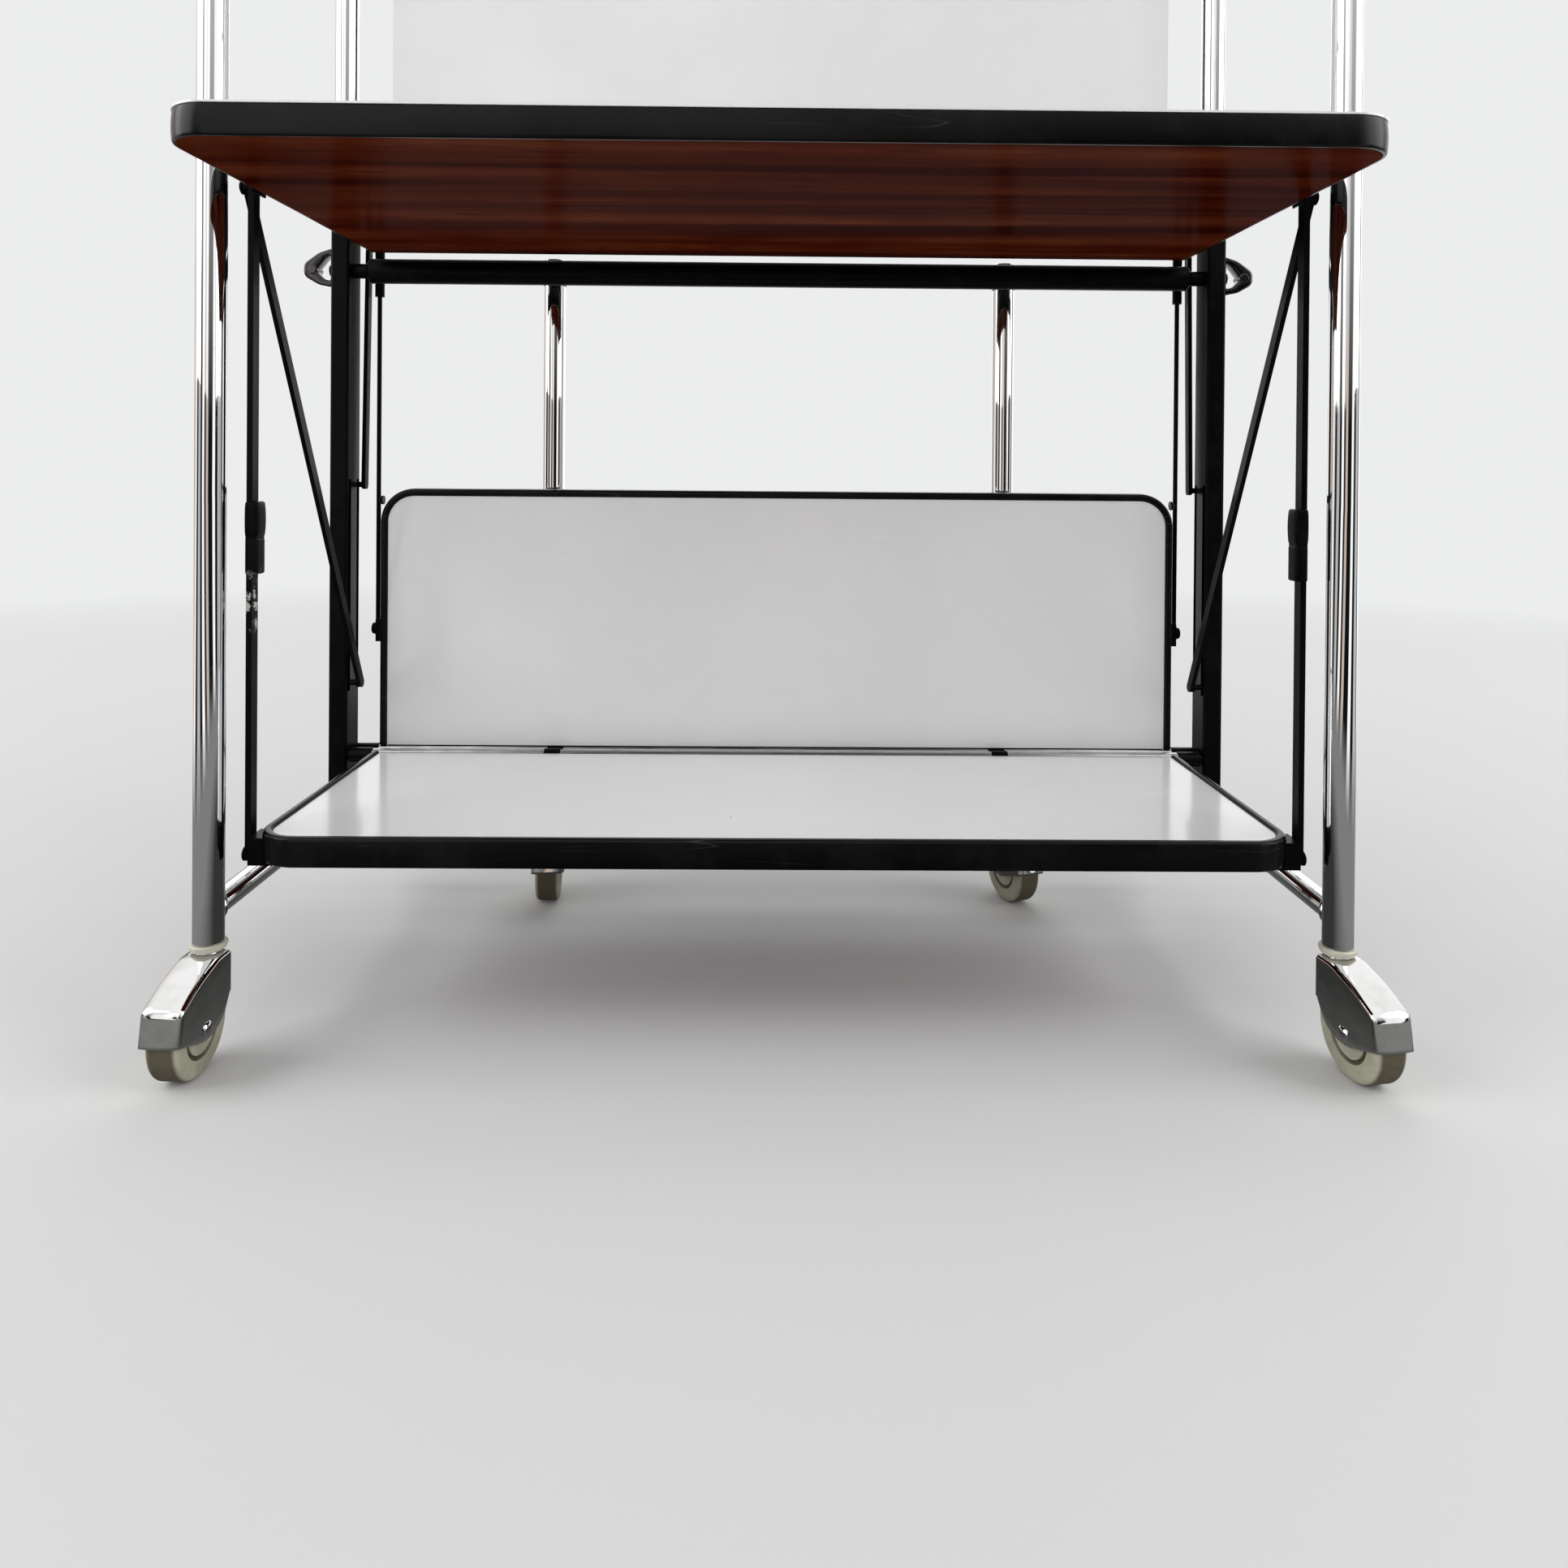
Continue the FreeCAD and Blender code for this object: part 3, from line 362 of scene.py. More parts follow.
@cache
def hairline_group() -> bpy.types.NodeTree:
    """Fine hairline scratches that run one way.

    Returns:
        A group whose Mask is noise stretched along the vector's first axis, kept only near its middle
        value, so that it draws thin lines, and broken up by a second, wider noise.
    """
    stretch, middle, break_scale = (0.06, 1.0, 1.0), 0.5, 14.0
    group = Group("Hairlines", {"Scale": 60.0, "Width": 0.012}, ["Mask"])
    place = group.given["Vector"]
    lines = group.noise(group.scaled(place, stretch), group.given["Scale"], detail=2.0)
    away = group.math("ABSOLUTE", group.math("SUBTRACT", lines, middle))
    thin = group.math("SUBTRACT", 1.0, group.math("DIVIDE", away, group.given["Width"]))
    breaks = group.span(group.noise(place, break_scale, detail=2.0), low=0.5, high=0.72)
    return group.give(Mask=group.times(group.math("MAXIMUM", thin, 0.0), breaks))


@cache
def grain_group() -> bpy.types.NodeTree:
    """Straight wood grain along the vector's first axis.

    Returns:
        A group with Figure, the broad bands of early and late wood, and Pores, the short dark lines.
    """
    fineness = 14.0
    group = Group("Grain", {"Stretch": 0.06, "Scale": 30.0}, ["Figure", "Pores"])
    squeeze = group.add("ShaderNodeCombineXYZ", X=group.given["Stretch"], Y=1.0, Z=1.0).outputs[0]
    drawn = group.scaled(group.given["Vector"], squeeze)
    bands = group.noise(drawn, group.given["Scale"], detail=6.0, Distortion=0.4)
    lines = group.noise(drawn, group.times(group.given["Scale"], fineness), detail=3.0)
    figure = group.span(bands, low=0.34, high=0.68)
    return group.give(Figure=figure, Pores=group.span(lines, low=0.56, high=0.7))


class Surface(Tree):
    """A material's tree, with its shader in place and the part's own coordinates at hand."""

    def __init__(self, name: str, **plain: Link) -> None:
        """Make a material with one Principled shader.

        Args:
            name: the material's name.
            plain: values that are the same all over, by the shader's input names.
        """
        self.material = bpy.data.materials.new(name)
        self.material.use_nodes = True
        super().__init__(self.material.node_tree)
        self.shader = self.add("ShaderNodeBsdfPrincipled", **plain)
        self.add("ShaderNodeOutputMaterial", Surface=self.shader.outputs[0])
        self.place = self.add("ShaderNodeTexCoord").outputs["Object"]

    def effect(self, group: bpy.types.NodeTree, **inputs: Link) -> bpy.types.Node:
        """Place a shared group, read at the part's own coordinates."""
        return self.add("ShaderNodeGroup", {"node_tree": group}, Vector=self.place, **inputs)

    def blotches(self, scale: float, low: float, high: float) -> Socket:
        """Place the shared blotches and give their mask."""
        return self.effect(blotch_group(), Scale=scale, Low=low, High=high).outputs["Mask"]

    def hairlines(self, scale: float, width: float) -> Socket:
        """Place the shared hairlines and give their mask."""
        return self.effect(hairline_group(), Scale=scale, Width=width).outputs["Mask"]

    def feed(self, colour: Socket, rough: Socket) -> None:
        """Wire the shader's colour and its roughness."""
        self.tree.links.new(colour, self.shader.inputs["Base Color"])
        self.tree.links.new(rough, self.shader.inputs["Roughness"])

    def bump(self, height: Socket, strength: float, distance: float) -> None:
        """Raise the surface's normal by a height."""
        node = self.add("ShaderNodeBump", Strength=strength, Distance=distance, Height=height)
        self.tree.links.new(node.outputs["Normal"], self.shader.inputs["Normal"])


# Finishes


@dataclass(frozen=True)
class Finish:
    """What every finish has.

    Attributes:
        name: the material's name.
        slot: the material slot of the nodes that get this finish.
    """

    name: str
    slot: str

    def material(self) -> bpy.types.Material:
        """Build the material, which each kind of finish does in its own way."""
        raise NotImplementedError


@cache
def material_of(finish: Finish) -> bpy.types.Material:
    """A finish's material, built the first time that it is asked for."""
    return finish.material()


@dataclass(frozen=True)
class Chrome(Finish):
    """Bright plating: mirror-like, with hairlines, a faint bloom and a slight ripple."""

    name: str = "chrome_plate"
    slot: str = "chrome"
    bright: Tone = (0.66, 0.662, 0.665, 1.0)
    bloomed: Tone = (0.52, 0.515, 0.505, 1.0)
    ripple: float = 0.04
    ripple_scale: float = 26.0

    def material(self) -> bpy.types.Material:
        """Build the plating."""
        look = Surface(self.name, Metallic=1.0)
        bloom = look.blotches(scale=34.0, low=0.5, high=0.8)
        lines = look.hairlines(scale=150.0, width=0.01)
        rough = look.math("ADD", look.between(bloom, low=0.03, high=0.12), look.times(lines, 0.08))
        look.feed(look.mix(look.times(bloom, 0.5), self.bright, self.bloomed), rough)
        look.bump(look.noise(look.place, self.ripple_scale, detail=1.0), self.ripple, distance=0.002)
        return look.material


@dataclass(frozen=True)
class BlackPaint(Finish):
    """Satin black stove paint, rubbed grey where things slide, and chipped to metal at one worn place."""

    name: str = "black_stove_paint"
    slot: str = "black_paint"
    black: Tone = (0.0018, 0.0018, 0.0019, 1.0)
    rubbed: Tone = (0.011, 0.011, 0.0115, 1.0)
    metal: Tone = (0.52, 0.5, 0.47, 1.0)
    worn_place: Point = (-0.29, -0.068, 0.245)
    worn_reach: float = 0.02
    worn_core: float = 0.4

    def material(self) -> bpy.types.Material:
        """Build the paint."""
        look = Surface(self.name, Metallic=0.0, Specular_IOR_Level=0.05)
        rub = look.blotches(scale=30.0, low=0.48, high=0.78)
        lines = look.hairlines(scale=220.0, width=0.01)
        chips = look.blotches(scale=170.0, low=0.55, high=0.58)
        distance = {"operation": "DISTANCE"}
        away = look.add("ShaderNodeVectorMath", distance, in_0=look.place, in_1=self.worn_place)
        nearby = look.span(away.outputs["Value"], self.worn_reach, self.worn_reach * self.worn_core)
        worn = look.times(chips, nearby)
        coat = look.mix(look.times(rub, 0.4), self.black, self.rubbed)
        coat = look.mix(look.times(lines, 0.5), coat, self.rubbed)
        look.feed(look.mix(worn, coat, self.metal), look.between(rub, low=0.3, high=0.46))
        skin = look.noise(look.place, scale=420.0, detail=2.0)
        look.bump(look.math("SUBTRACT", skin, worn), strength=0.12, distance=0.0004)
        return look.material


@dataclass(frozen=True)
class Edging(Finish):
    """Black plastic edging, smooth with a soft shine, a few pale scuffs and dust in its surface."""

    name: str = "black_edging"
    slot: str = "black_edging"
    black: Tone = (0.0018, 0.0018, 0.0019, 1.0)
    dusty: Tone = (0.012, 0.012, 0.0125, 1.0)
    scuff: Tone = (0.1, 0.1, 0.1, 1.0)

    def material(self) -> bpy.types.Material:
        """Build the plastic."""
        look = Surface(self.name, Metallic=0.0, Specular_IOR_Level=0.12)
        dust = look.blotches(scale=24.0, low=0.45, high=0.8)
        lines = look.hairlines(scale=46.0, width=0.003)
        coat = look.mix(look.times(dust, 0.5), self.black, self.dusty)
        look.feed(look.mix(look.times(lines, 0.6), coat, self.scuff), look.between(dust, low=0.24, high=0.4))
        look.bump(look.noise(look.place, scale=700.0, detail=2.0), strength=0.08, distance=0.0003)
        return look.material


@dataclass(frozen=True)
class Laminate(Finish):
    """Glossy white laminate with a faint mottle, thin scuffs and the odd dark speck."""

    name: str = "white_laminate"
    slot: str = "white_laminate"
    white: Tone = (0.79, 0.79, 0.79, 1.0)
    mottled: Tone = (0.75, 0.752, 0.754, 1.0)
    speck: Tone = (0.08, 0.07, 0.06, 1.0)
    speck_radius: float = 0.016

    def material(self) -> bpy.types.Material:
        """Build the laminate."""
        look = Surface(self.name, Metallic=0.0)
        mottle = look.blotches(scale=9.0, low=0.36, high=0.72)
        lines = look.hairlines(scale=70.0, width=0.004)
        cells = look.add("ShaderNodeTexVoronoi", Vector=look.place, Scale=13.0, Randomness=1.0)
        specks = look.math("LESS_THAN", cells.outputs["Distance"], self.speck_radius)
        coat = look.mix(mottle, self.white, self.mottled)
        rough = look.math("ADD", look.between(mottle, low=0.1, high=0.19), look.times(lines, 0.25))
        look.feed(look.mix(look.times(specks, 0.55), coat, self.speck), rough)
        look.bump(look.noise(look.place, scale=8.0, detail=1.0), strength=0.05, distance=0.004)
        return look.material


@dataclass(frozen=True)
class Veneer(Finish):
    """Dark red-brown veneer under the leaves, with straight grain along the tray and a satin varnish."""

    name: str = "red_brown_veneer"
    slot: str = "wood_veneer"
    dark: Tone = (0.025, 0.0021, 0.0004, 1.0)
    red: Tone = (0.074, 0.01, 0.0027, 1.0)
    pale: Tone = (0.14, 0.04, 0.0155, 1.0)

    def material(self) -> bpy.types.Material:
        """Build the veneer."""
        varnish = {"Coat_Weight": 0.02, "Coat_Roughness": 0.2}
        look = Surface(self.name, Metallic=0.0, Specular_IOR_Level=0.0, **varnish)
        wood = look.effect(grain_group(), Scale=34.0, Stretch=0.05).outputs
        drift = look.blotches(scale=5.0, low=0.4, high=0.7)
        figure = look.mix(wood["Figure"], self.dark, self.red)
        figure = look.mix(look.times(drift, look.math("POWER", wood["Figure"], 2.0)), figure, self.pale)
        rough = look.between(wood["Pores"], low=0.34, high=0.55)
        look.feed(look.mix(look.times(wood["Pores"], 0.7), figure, self.dark), rough)
        look.bump(wood["Pores"], strength=0.15, distance=0.0003)
        return look.material


@dataclass(frozen=True)
class DullSteel(Finish):
    """Grey drawn rod, brushed along its length and a little stained."""

    name: str = "grey_rod"
    slot: str = "grey_steel"
    grey: Tone = (0.5, 0.5, 0.51, 1.0)
    stained: Tone = (0.2, 0.185, 0.17, 1.0)

    def material(self) -> bpy.types.Material:
        """Build the steel."""
        look = Surface(self.name, Metallic=1.0)
        stain = look.blotches(scale=40.0, low=0.45, high=0.75)
        colour = look.mix(look.times(stain, 0.6), self.grey, self.stained)
        look.feed(colour, look.between(stain, low=0.28, high=0.45))
        look.bump(look.hairlines(scale=400.0, width=0.05), strength=0.1, distance=0.0002)
        return look.material


@dataclass(frozen=True)
class Moulding(Finish):
    """A moulded plastic or rubber, mottled between two tones, with a fine grain.

    Attributes:
        clean: the fresh tone.
        soiled: the handled tone.
        gloss: lowest and highest roughness.
        scale: how fine the soiling is.
        face: the tone where the piece's own side_face attribute is one.
    """

    clean: Tone
    soiled: Tone
    gloss: tuple[float, float]
    scale: float
    face: Optional[Tone] = None

    def material(self) -> bpy.types.Material:
        """Build the plastic or rubber."""
        look = Surface(self.name, Metallic=0.0)
        soil = look.blotches(self.scale, low=0.42, high=0.72)
        tone = look.mix(soil, self.clean, self.soiled)
        if self.face:
            side = look.add("ShaderNodeAttribute", {"attribute_name": "side_face"}).outputs["Fac"]
            tone = look.mix(side, tone, look.mix(look.times(soil, 0.5), self.face, self.clean))
        look.feed(tone, look.between(soil, *self.gloss))
        look.bump(look.noise(look.place, scale=900.0, detail=2.0), strength=0.12, distance=0.0003)
        return look.material


CHROME = Chrome()
LEVER_PLATE = Chrome(
    name="dark_plate",
    bright=(0.044, 0.041, 0.04, 1.0),
    bloomed=(0.02, 0.0185, 0.018, 1.0),
)
HOOD_PLATE = Chrome(
    name="hood_plate",
    bright=(0.62, 0.618, 0.61, 1.0),
    bloomed=(0.34, 0.33, 0.315, 1.0),
    ripple=0.2,
    ripple_scale=75.0,
)
PAINT = BlackPaint()
EDGING = Edging()
STEEL = DullSteel()
CREAM = Moulding(
    name="cream_collar",
    slot="cream_plastic",
    clean=(0.57, 0.555, 0.46, 1.0),
    soiled=(0.39, 0.365, 0.285, 1.0),
    gloss=(0.35, 0.5),
    scale=60.0,
)
TREAD = Moulding(
    name="grey_tread",
    slot="grey_rubber",
    clean=(0.11, 0.092, 0.056, 1.0),
    soiled=(0.062, 0.052, 0.031, 1.0),
    gloss=(0.5, 0.68),
    scale=45.0,
    face=(0.41, 0.4, 0.3, 1.0),
)
STOPPER = Moulding(
    name="black_stopper",
    slot="black_edging",
    clean=(0.006, 0.006, 0.006, 1.0),
    soiled=(0.02, 0.02, 0.02, 1.0),
    gloss=(0.4, 0.6),
    scale=60.0,
)
NODE_FINISHES = (CHROME, PAINT, EDGING, Laminate(), Veneer(), STEEL, CREAM, TREAD)


def dress_nodes() -> None:
    """Give each node that stays in view the material of its slot."""
    by_slot = {finish.slot: finish for finish in NODE_FINISHES}
    for part in frame["record"]["subparts"]:
        for slot in frame["nodes"][part["node"]].material_slots:
            slot.material = material_of(by_slot[part["material_slot"]])
        LOG.info("%s has the finish of %s", part["node"], part["material_slot"])


# Pieces


def linked(name: str, data: bpy.types.ID) -> bpy.types.Object:
    """A new object of the data, linked to the scene."""
    thing = bpy.data.objects.new(name, data)
    bpy.context.scene.collection.objects.link(thing)
    return thing


def make_piece(
    name: str,
    shells: Sequence[Shell],
    finish: Finish,
    body: str,
    nodes: Sequence[str] = (),
    wall: Optional[float] = None,
) -> bpy.types.Object:
    """Make a Blender object of patches and let it ride on a body.

    Args:
        name: the piece's name.
        shells: its patches, in metres and in the trolley's own frame.
        finish: its finish.
        body: the body that it moves with.
        nodes: the nodes that it is shown in place of.
        wall: the thickness that an open sheet gets, towards its inside.

    Returns:
        The new object.
    """
    whole = joined(shells)
    mesh = bpy.data.meshes.new(name)
    mesh.from_pydata(whole.points.tolist(), [], whole.faces)
    work = bmesh.new()
    work.from_mesh(mesh)
    bmesh.ops.remove_doubles(work, verts=work.verts, dist=MERGE_GAP)
    bmesh.ops.recalc_face_normals(work, faces=work.faces)
    work.to_mesh(mesh)
    work.free()
    mesh.polygons.foreach_set("use_smooth", np.ones(len(mesh.polygons), bool))
    mesh.set_sharp_from_angle(angle=SMOOTH_LIMIT)
    mesh.materials.append(material_of(finish))
    piece = linked(name, mesh)
    if wall:
        solid = piece.modifiers.new("wall", "SOLIDIFY")
        solid.thickness = wall
        solid.offset = -1.0
    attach(piece, body)
    if nodes:
        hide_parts(*nodes)
    LOG.info("%s rides on %s", name, body)
    return piece


def node_box(node: str) -> tuple[Array, Array]:
    """The lowest and highest corner of a node, as arrays."""
    low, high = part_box(node)
    return np.array(low), np.array(high)


def joint_place(name: str) -> Array:
    """The point that a joint turns about, at rest."""
    return np.array(next(joint["pos_m"] for joint in frame["joints"] if joint["name"] == name), float)


# Sub-assemblies


@dataclass
class SideFrame:
    """One end of the trolley: the bent hoop, its low strut and the welds that join them."""

    side: Side
    bend: float = 0.062
    bite: float = 0.8
    weld_radius: float = 0.0016
    weld_steps: int = 64

    def build(self) -> None:
        """Make the hoop, then the strut."""
        name = f"{self.side.word}_hoop"
        low, high = node_box(name)
        radius = (high[0] - low[0]) / 2
        x, front, back, top = (low[0] + high[0]) / 2, low[1] + radius, high[1] - radius, high[2] - radius
        post_top = node_box(f"{self.side.word}_post")[1][2]
        corners = [(front, low[2]), (front, top), (back, top), (back, post_top)]
        path = np.insert(rounded(corners, self.bend, steps=28), 0, x, axis=1)
        make_piece(f"{name}_tube", [carried(circle(radius, 48), path, X_WAY)], CHROME, "frame", [name])
        self.build_strut(np.array([x, front, low[2]]), radius)

    def build_strut(self, foot: Array, leg_radius: float) -> None:
        """Make the strut with a weld bead at each end.

        Args:
            foot: the lower end of the front leg.
            leg_radius: the leg's radius.
        """
        name = f"{self.side.word}_strut"
        low, high = node_box(name)
        radius, z = (high[2] - low[2]) / 2, (high[2] + low[2]) / 2
        start = np.array([foot[0], foot[1] + leg_radius * self.bite, z])
        tube = rod(radius, high[1] - start[1], TUBE_EDGE, start, Y_WAY)
        make_piece(f"{name}_tube", [tube], CHROME, "frame", [name])
        across, up = circle(radius, self.weld_steps).T
        ends = (foot[1] + np.sqrt(leg_radius**2 - across**2), np.full(self.weld_steps, high[1]))
        beads = [self.bead(np.column_stack([foot[0] + across, end, z + up]), start) for end in ends]
        make_piece(f"{name}_welds", beads, CHROME, "frame")

    def bead(self, seam: Array, middle: Array) -> Shell:
        """Lay a round bead along a closed seam.

        A point is the seam's point plus the bead's radius times (cos t * outward + sin t * along), where
        outward points away from the strut's axis and along is the strut's own direction.

        Args:
            seam: the seam's points.
            middle: a point on the strut's axis.

        Returns:
            The bead.
        """
        outward = (seam - middle) * [1, 0, 1]
        outward /= np.linalg.norm(outward, axis=1, keepdims=True)
        ring = circle(self.weld_radius, sides=12)
        grid = seam[:, None] + ring[None, :, :1] * outward[:, None] + ring[None, :, 1:] * Y_WAY
        return grid_shell(grid, wrap=True, ring=True)


@dataclass
class Crossbars:
    """The two bars between the posts: a stout upper one with necked ends, and the lower rail."""

    neck_radius: float = 0.00525
    neck_length: float = 0.011
    taper: float = 0.002
    edge: float = 0.001

    def build(self) -> None:
        """Make both bars."""
        low, high = node_box("crossbar")
        radius, half = (high[2] - low[2]) / 2, high[0]
        shoulder = half - self.neck_length
        profile = [
            (radius, shoulder - self.edge),
            (radius - self.edge, shoulder),
            (self.neck_radius, shoulder + self.taper),
            (self.neck_radius, half),
        ]
        bar = turned(both_ways(profile), (low + high) / 2, X_WAY, sides=48)
        make_piece("crossbar_tube", [bar], PAINT, "frame", ["crossbar"])
        low, high = node_box("lower_rail")
        start = (low + high) / 2 * [0, 1, 1] + [low[0], 0, 0]
        rail = rod((high[2] - low[2]) / 2, high[0] - low[0], TUBE_EDGE, start, X_WAY)
        make_piece("lower_rail_tube", [rail], PAINT, "frame", ["lower_rail"])


@dataclass(frozen=True)
class BandShape:
    """The section of a leaf's edging: its width, and the radius of its foot, its lip and its inner lip."""

    width: float
    foot: float
    lip: float
    inner_lip: float


BAND_SHAPES = {
    Tray.TOP: BandShape(width=0.0022, foot=0.0012, lip=0.0006, inner_lip=0.0),
    Tray.LOWER: BandShape(width=0.0055, foot=0.0016, lip=0.0019, inner_lip=0.0019),
}


@dataclass
class Leaf:
    """One leaf: the edging round its three free sides, and the rod that it turns on."""

    tray: Tray
    half: Half
    corner_radius: float = 0.024
    swell: float = 0.0005
    hinge_gap: float = 0.0002
    rod_radius: float = 0.0045
    rod_edge: float = 0.0004
    pin_radius: float = 0.0022
    post_gap: float = 0.0005
    clip_wall: float = 0.0005
    clip_length: float = 0.0115
    clip_edge: float = 0.0003
    clip_place: float = 0.158
    bush_radius: float = 0.005
    bush_gap: float = 0.0002
    bush_edge: float = 0.0005
    # The next six sizes shape a dark strip of painted shade along the gap beside the rod.
    seam_width: float = 0.0008
    seam_crown: float = 0.7
    seam_proud: float = 0.00012
    seam_sink: float = 0.0006
    seam_tuck: float = 0.0004
    seam_end: float = 0.0005
    nub_radius: float = 0.0032
    nub_rise: float = 0.0022
    nub_foot: float = 0.0008
    nub_height: float = 0.296

    @property
    def name(self) -> str:
        """The leaf's name as its nodes spell it."""
        return f"{self.tray.value}_{self.half.value}"

    @property
    def pivot(self) -> Array:
        """The middle of the rod that the leaf turns on."""
        return sum(node_box(f"{self.name}_pivot_rod")) / 2

    def place(self, points: Array) -> Array:
        """Take points from the leaf's own frame, pivot along X and free edge to +Y, to where it stands."""
        if self.half is Half.FRONT:
            return points * [-1, -1, 1] + self.pivot
        return points[:, [0, 2, 1]] * [1, -1, 1] + self.pivot

    def extents(self, node: str) -> tuple[Array, Array]:
        """The lowest and highest corner of one of the leaf's nodes, in the leaf's own frame."""
        corners = np.array(node_box(f"{self.name}_{node}")) - self.pivot
        if self.half is Half.FRONT:
            local = corners * [-1, -1, 1]
        else:
            local = corners[:, [0, 2, 1]] * [1, 1, -1]
        return local.min(axis=0), local.max(axis=0)

    def make(self, piece: str, shells: Sequence[Shell], finish: Finish, nodes: Sequence[str] = ()) -> None:
        """Make a piece that rides on the leaf."""
        make_piece(f"{self.name}_{piece}", shells, finish, f"{self.name}_leaf", nodes)

    def build(self) -> None:
        """Make the edging, the rod with its clips and, on the lower rear leaf, the stops."""
        low, high = self.extents("band")
        start = self.rod_radius + self.hinge_gap
        corners = [(high[0], start), (high[0], high[1]), (-high[0], high[1]), (-high[0], start)]
        path = np.insert(rounded(corners, self.corner_radius, steps=18), 2, 0.0, axis=1)
        band = carried(self.band_section(low[2], high[2]), path, Z_WAY)
        self.make("edging", [band.moved(self.place)], EDGING, [f"{self.name}_band"])
        edge = node_box(f"{self.name}_band")[1][0]
        self.build_rod(edge)
        if self.name == "lower_rear":
            self.build_nubs(edge)

    def band_section(self, bottom: float, top: float) -> Array:
        """The edging's section, swollen on its outer face.

        The outer face stands in from the leaf's outline by swell times the square of the height, counted
        from -1 at the bottom to 1 at the top, and its corners are rounded.

        Args:
            bottom: the edging's lowest height.
            top: its highest height.

        Returns:
            Rows of (outwards, height).
        """
        shape = BAND_SHAPES[self.tray]
        height = np.linspace(-1, 1, 9)
        outer = np.column_stack([-self.swell * height**2, (top + bottom) / 2 + (top - bottom) / 2 * height])
        corners = [*outer, (-shape.width, top), (-shape.width, bottom)]
        radii = [shape.foot, *np.zeros(len(outer) - 2), shape.lip, shape.inner_lip, 0.0]
        return rounded(corners, radii, steps=6, closed=True)

    def build_rod(self, edge: float) -> None:
        """Make the pivot rod with its two pins, and its clips, a dark strip of painted shade and, on a lower leaf,
        bushes.

        Args:
            edge: the X of the leaf's right side edge.
        """
        node, middle = f"{self.name}_pivot_rod", self.pivot
        reach = node_box(node)[1][0]
        shoulder = edge if self.tray is Tray.TOP else node_box("right_post")[0][0] - self.post_gap
        profile = [
            (self.rod_radius, shoulder - self.rod_edge),
            (self.rod_radius - self.rod_edge, shoulder),
            (self.pin_radius, shoulder),
            (self.pin_radius, reach - self.rod_edge),
            (self.pin_radius - self.rod_edge, reach),
        ]
        self.make("rod", [turned(both_ways(profile), middle, X_WAY, sides=32)], STEEL, [node])
        # The painted shade strip beside the rod goes in with the clips.
        clips = [self.seam_shell().moved(self.place)]
        wide = self.rod_radius + self.clip_wall
        for side in Side:
            start = middle + (side.value * self.clip_place - self.clip_length / 2) * X_WAY
            clips.append(rod(wide, self.clip_length, self.clip_edge, start, X_WAY, sides=32))
        if self.tray is Tray.LOWER:
            length = shoulder - edge - 2 * self.bush_gap
            for way in (-X_WAY, X_WAY):
                start = middle + (edge + self.bush_gap) * way
                clips.append(rod(self.bush_radius, length, self.bush_edge, start, way, sides=32))
        self.make("rod_clips", clips, PAINT)

    def seam_shell(self) -> Shell:
        """A dark strip of painted shade between the laminate and the rod, where the gap is in shadow.

        A flat bar along X, from the rod's side outwards by the strip's width, with its top just over the laminate.

        Returns:
            The bar in the leaf's own frame.
        """
        corner = self.extents("sheet")[1]
        reach, top = corner[0] - self.seam_end, corner[2]
        side = math.sqrt(self.rod_radius**2 - top**2)
        section = [
            (side - self.seam_sink, top - self.seam_sink),
            (side + self.seam_width, top - self.seam_sink),
            (side + self.seam_width, top),
            (side + self.seam_width * self.seam_crown, top + self.seam_proud),
            (side - self.seam_tuck, top + self.seam_proud),
        ]
        grid = np.stack([np.insert(section, 0, x, axis=1) for x in (-reach, reach)])
        return grid_shell(grid, wrap=True, caps=True)

    def build_nubs(self, edge: float) -> None:
        """Make the small domed stops on the leaf's side edges.

        Args:
            edge: the X of the leaf's right side edge.
        """
        low, high = node_box(f"{self.name}_band")
        profile = dome(self.nub_radius, self.nub_rise, self.nub_foot)
        middle = np.array([0.0, (low[1] + high[1]) / 2, self.nub_height])
        nubs = [turned(profile, middle + edge * way, way, sides=24) for way in (-X_WAY, X_WAY)]
        self.make("stops", nubs, PAINT)


@dataclass
class Rivets:
    """The domed rivet heads on the studs that the links and stays turn on."""

    tray: Tray
    half: Half
    radius: float = 0.0037
    rise: float = 0.0007
    foot: float = 0.0001

    def build(self) -> None:
        """Make both heads."""
        name, half = f"{self.tray.value}_{self.half.value}", self.half.value
        profile = dome(self.radius, self.rise, self.foot)
        heads = []
        for side in Side:
            low, high = node_box(f"{name}_bracket_{side.word}")
            stud = joint_place(f"{half}_{side.word}_link_turn")
            if self.tray is Tray.LOWER:
                drop = joint_place(f"{half}_fold")[2] - joint_place(f"{half}_lower_fold")[2]
                stud = stud - drop * Z_WAY
            start = (high[0] if side is Side.RIGHT else low[0], stud[1], stud[2])
            heads.append(turned(profile, start, side.value * X_WAY, sides=28))
        make_piece(f"{name}_rivets", heads, PAINT, f"{name}_leaf")


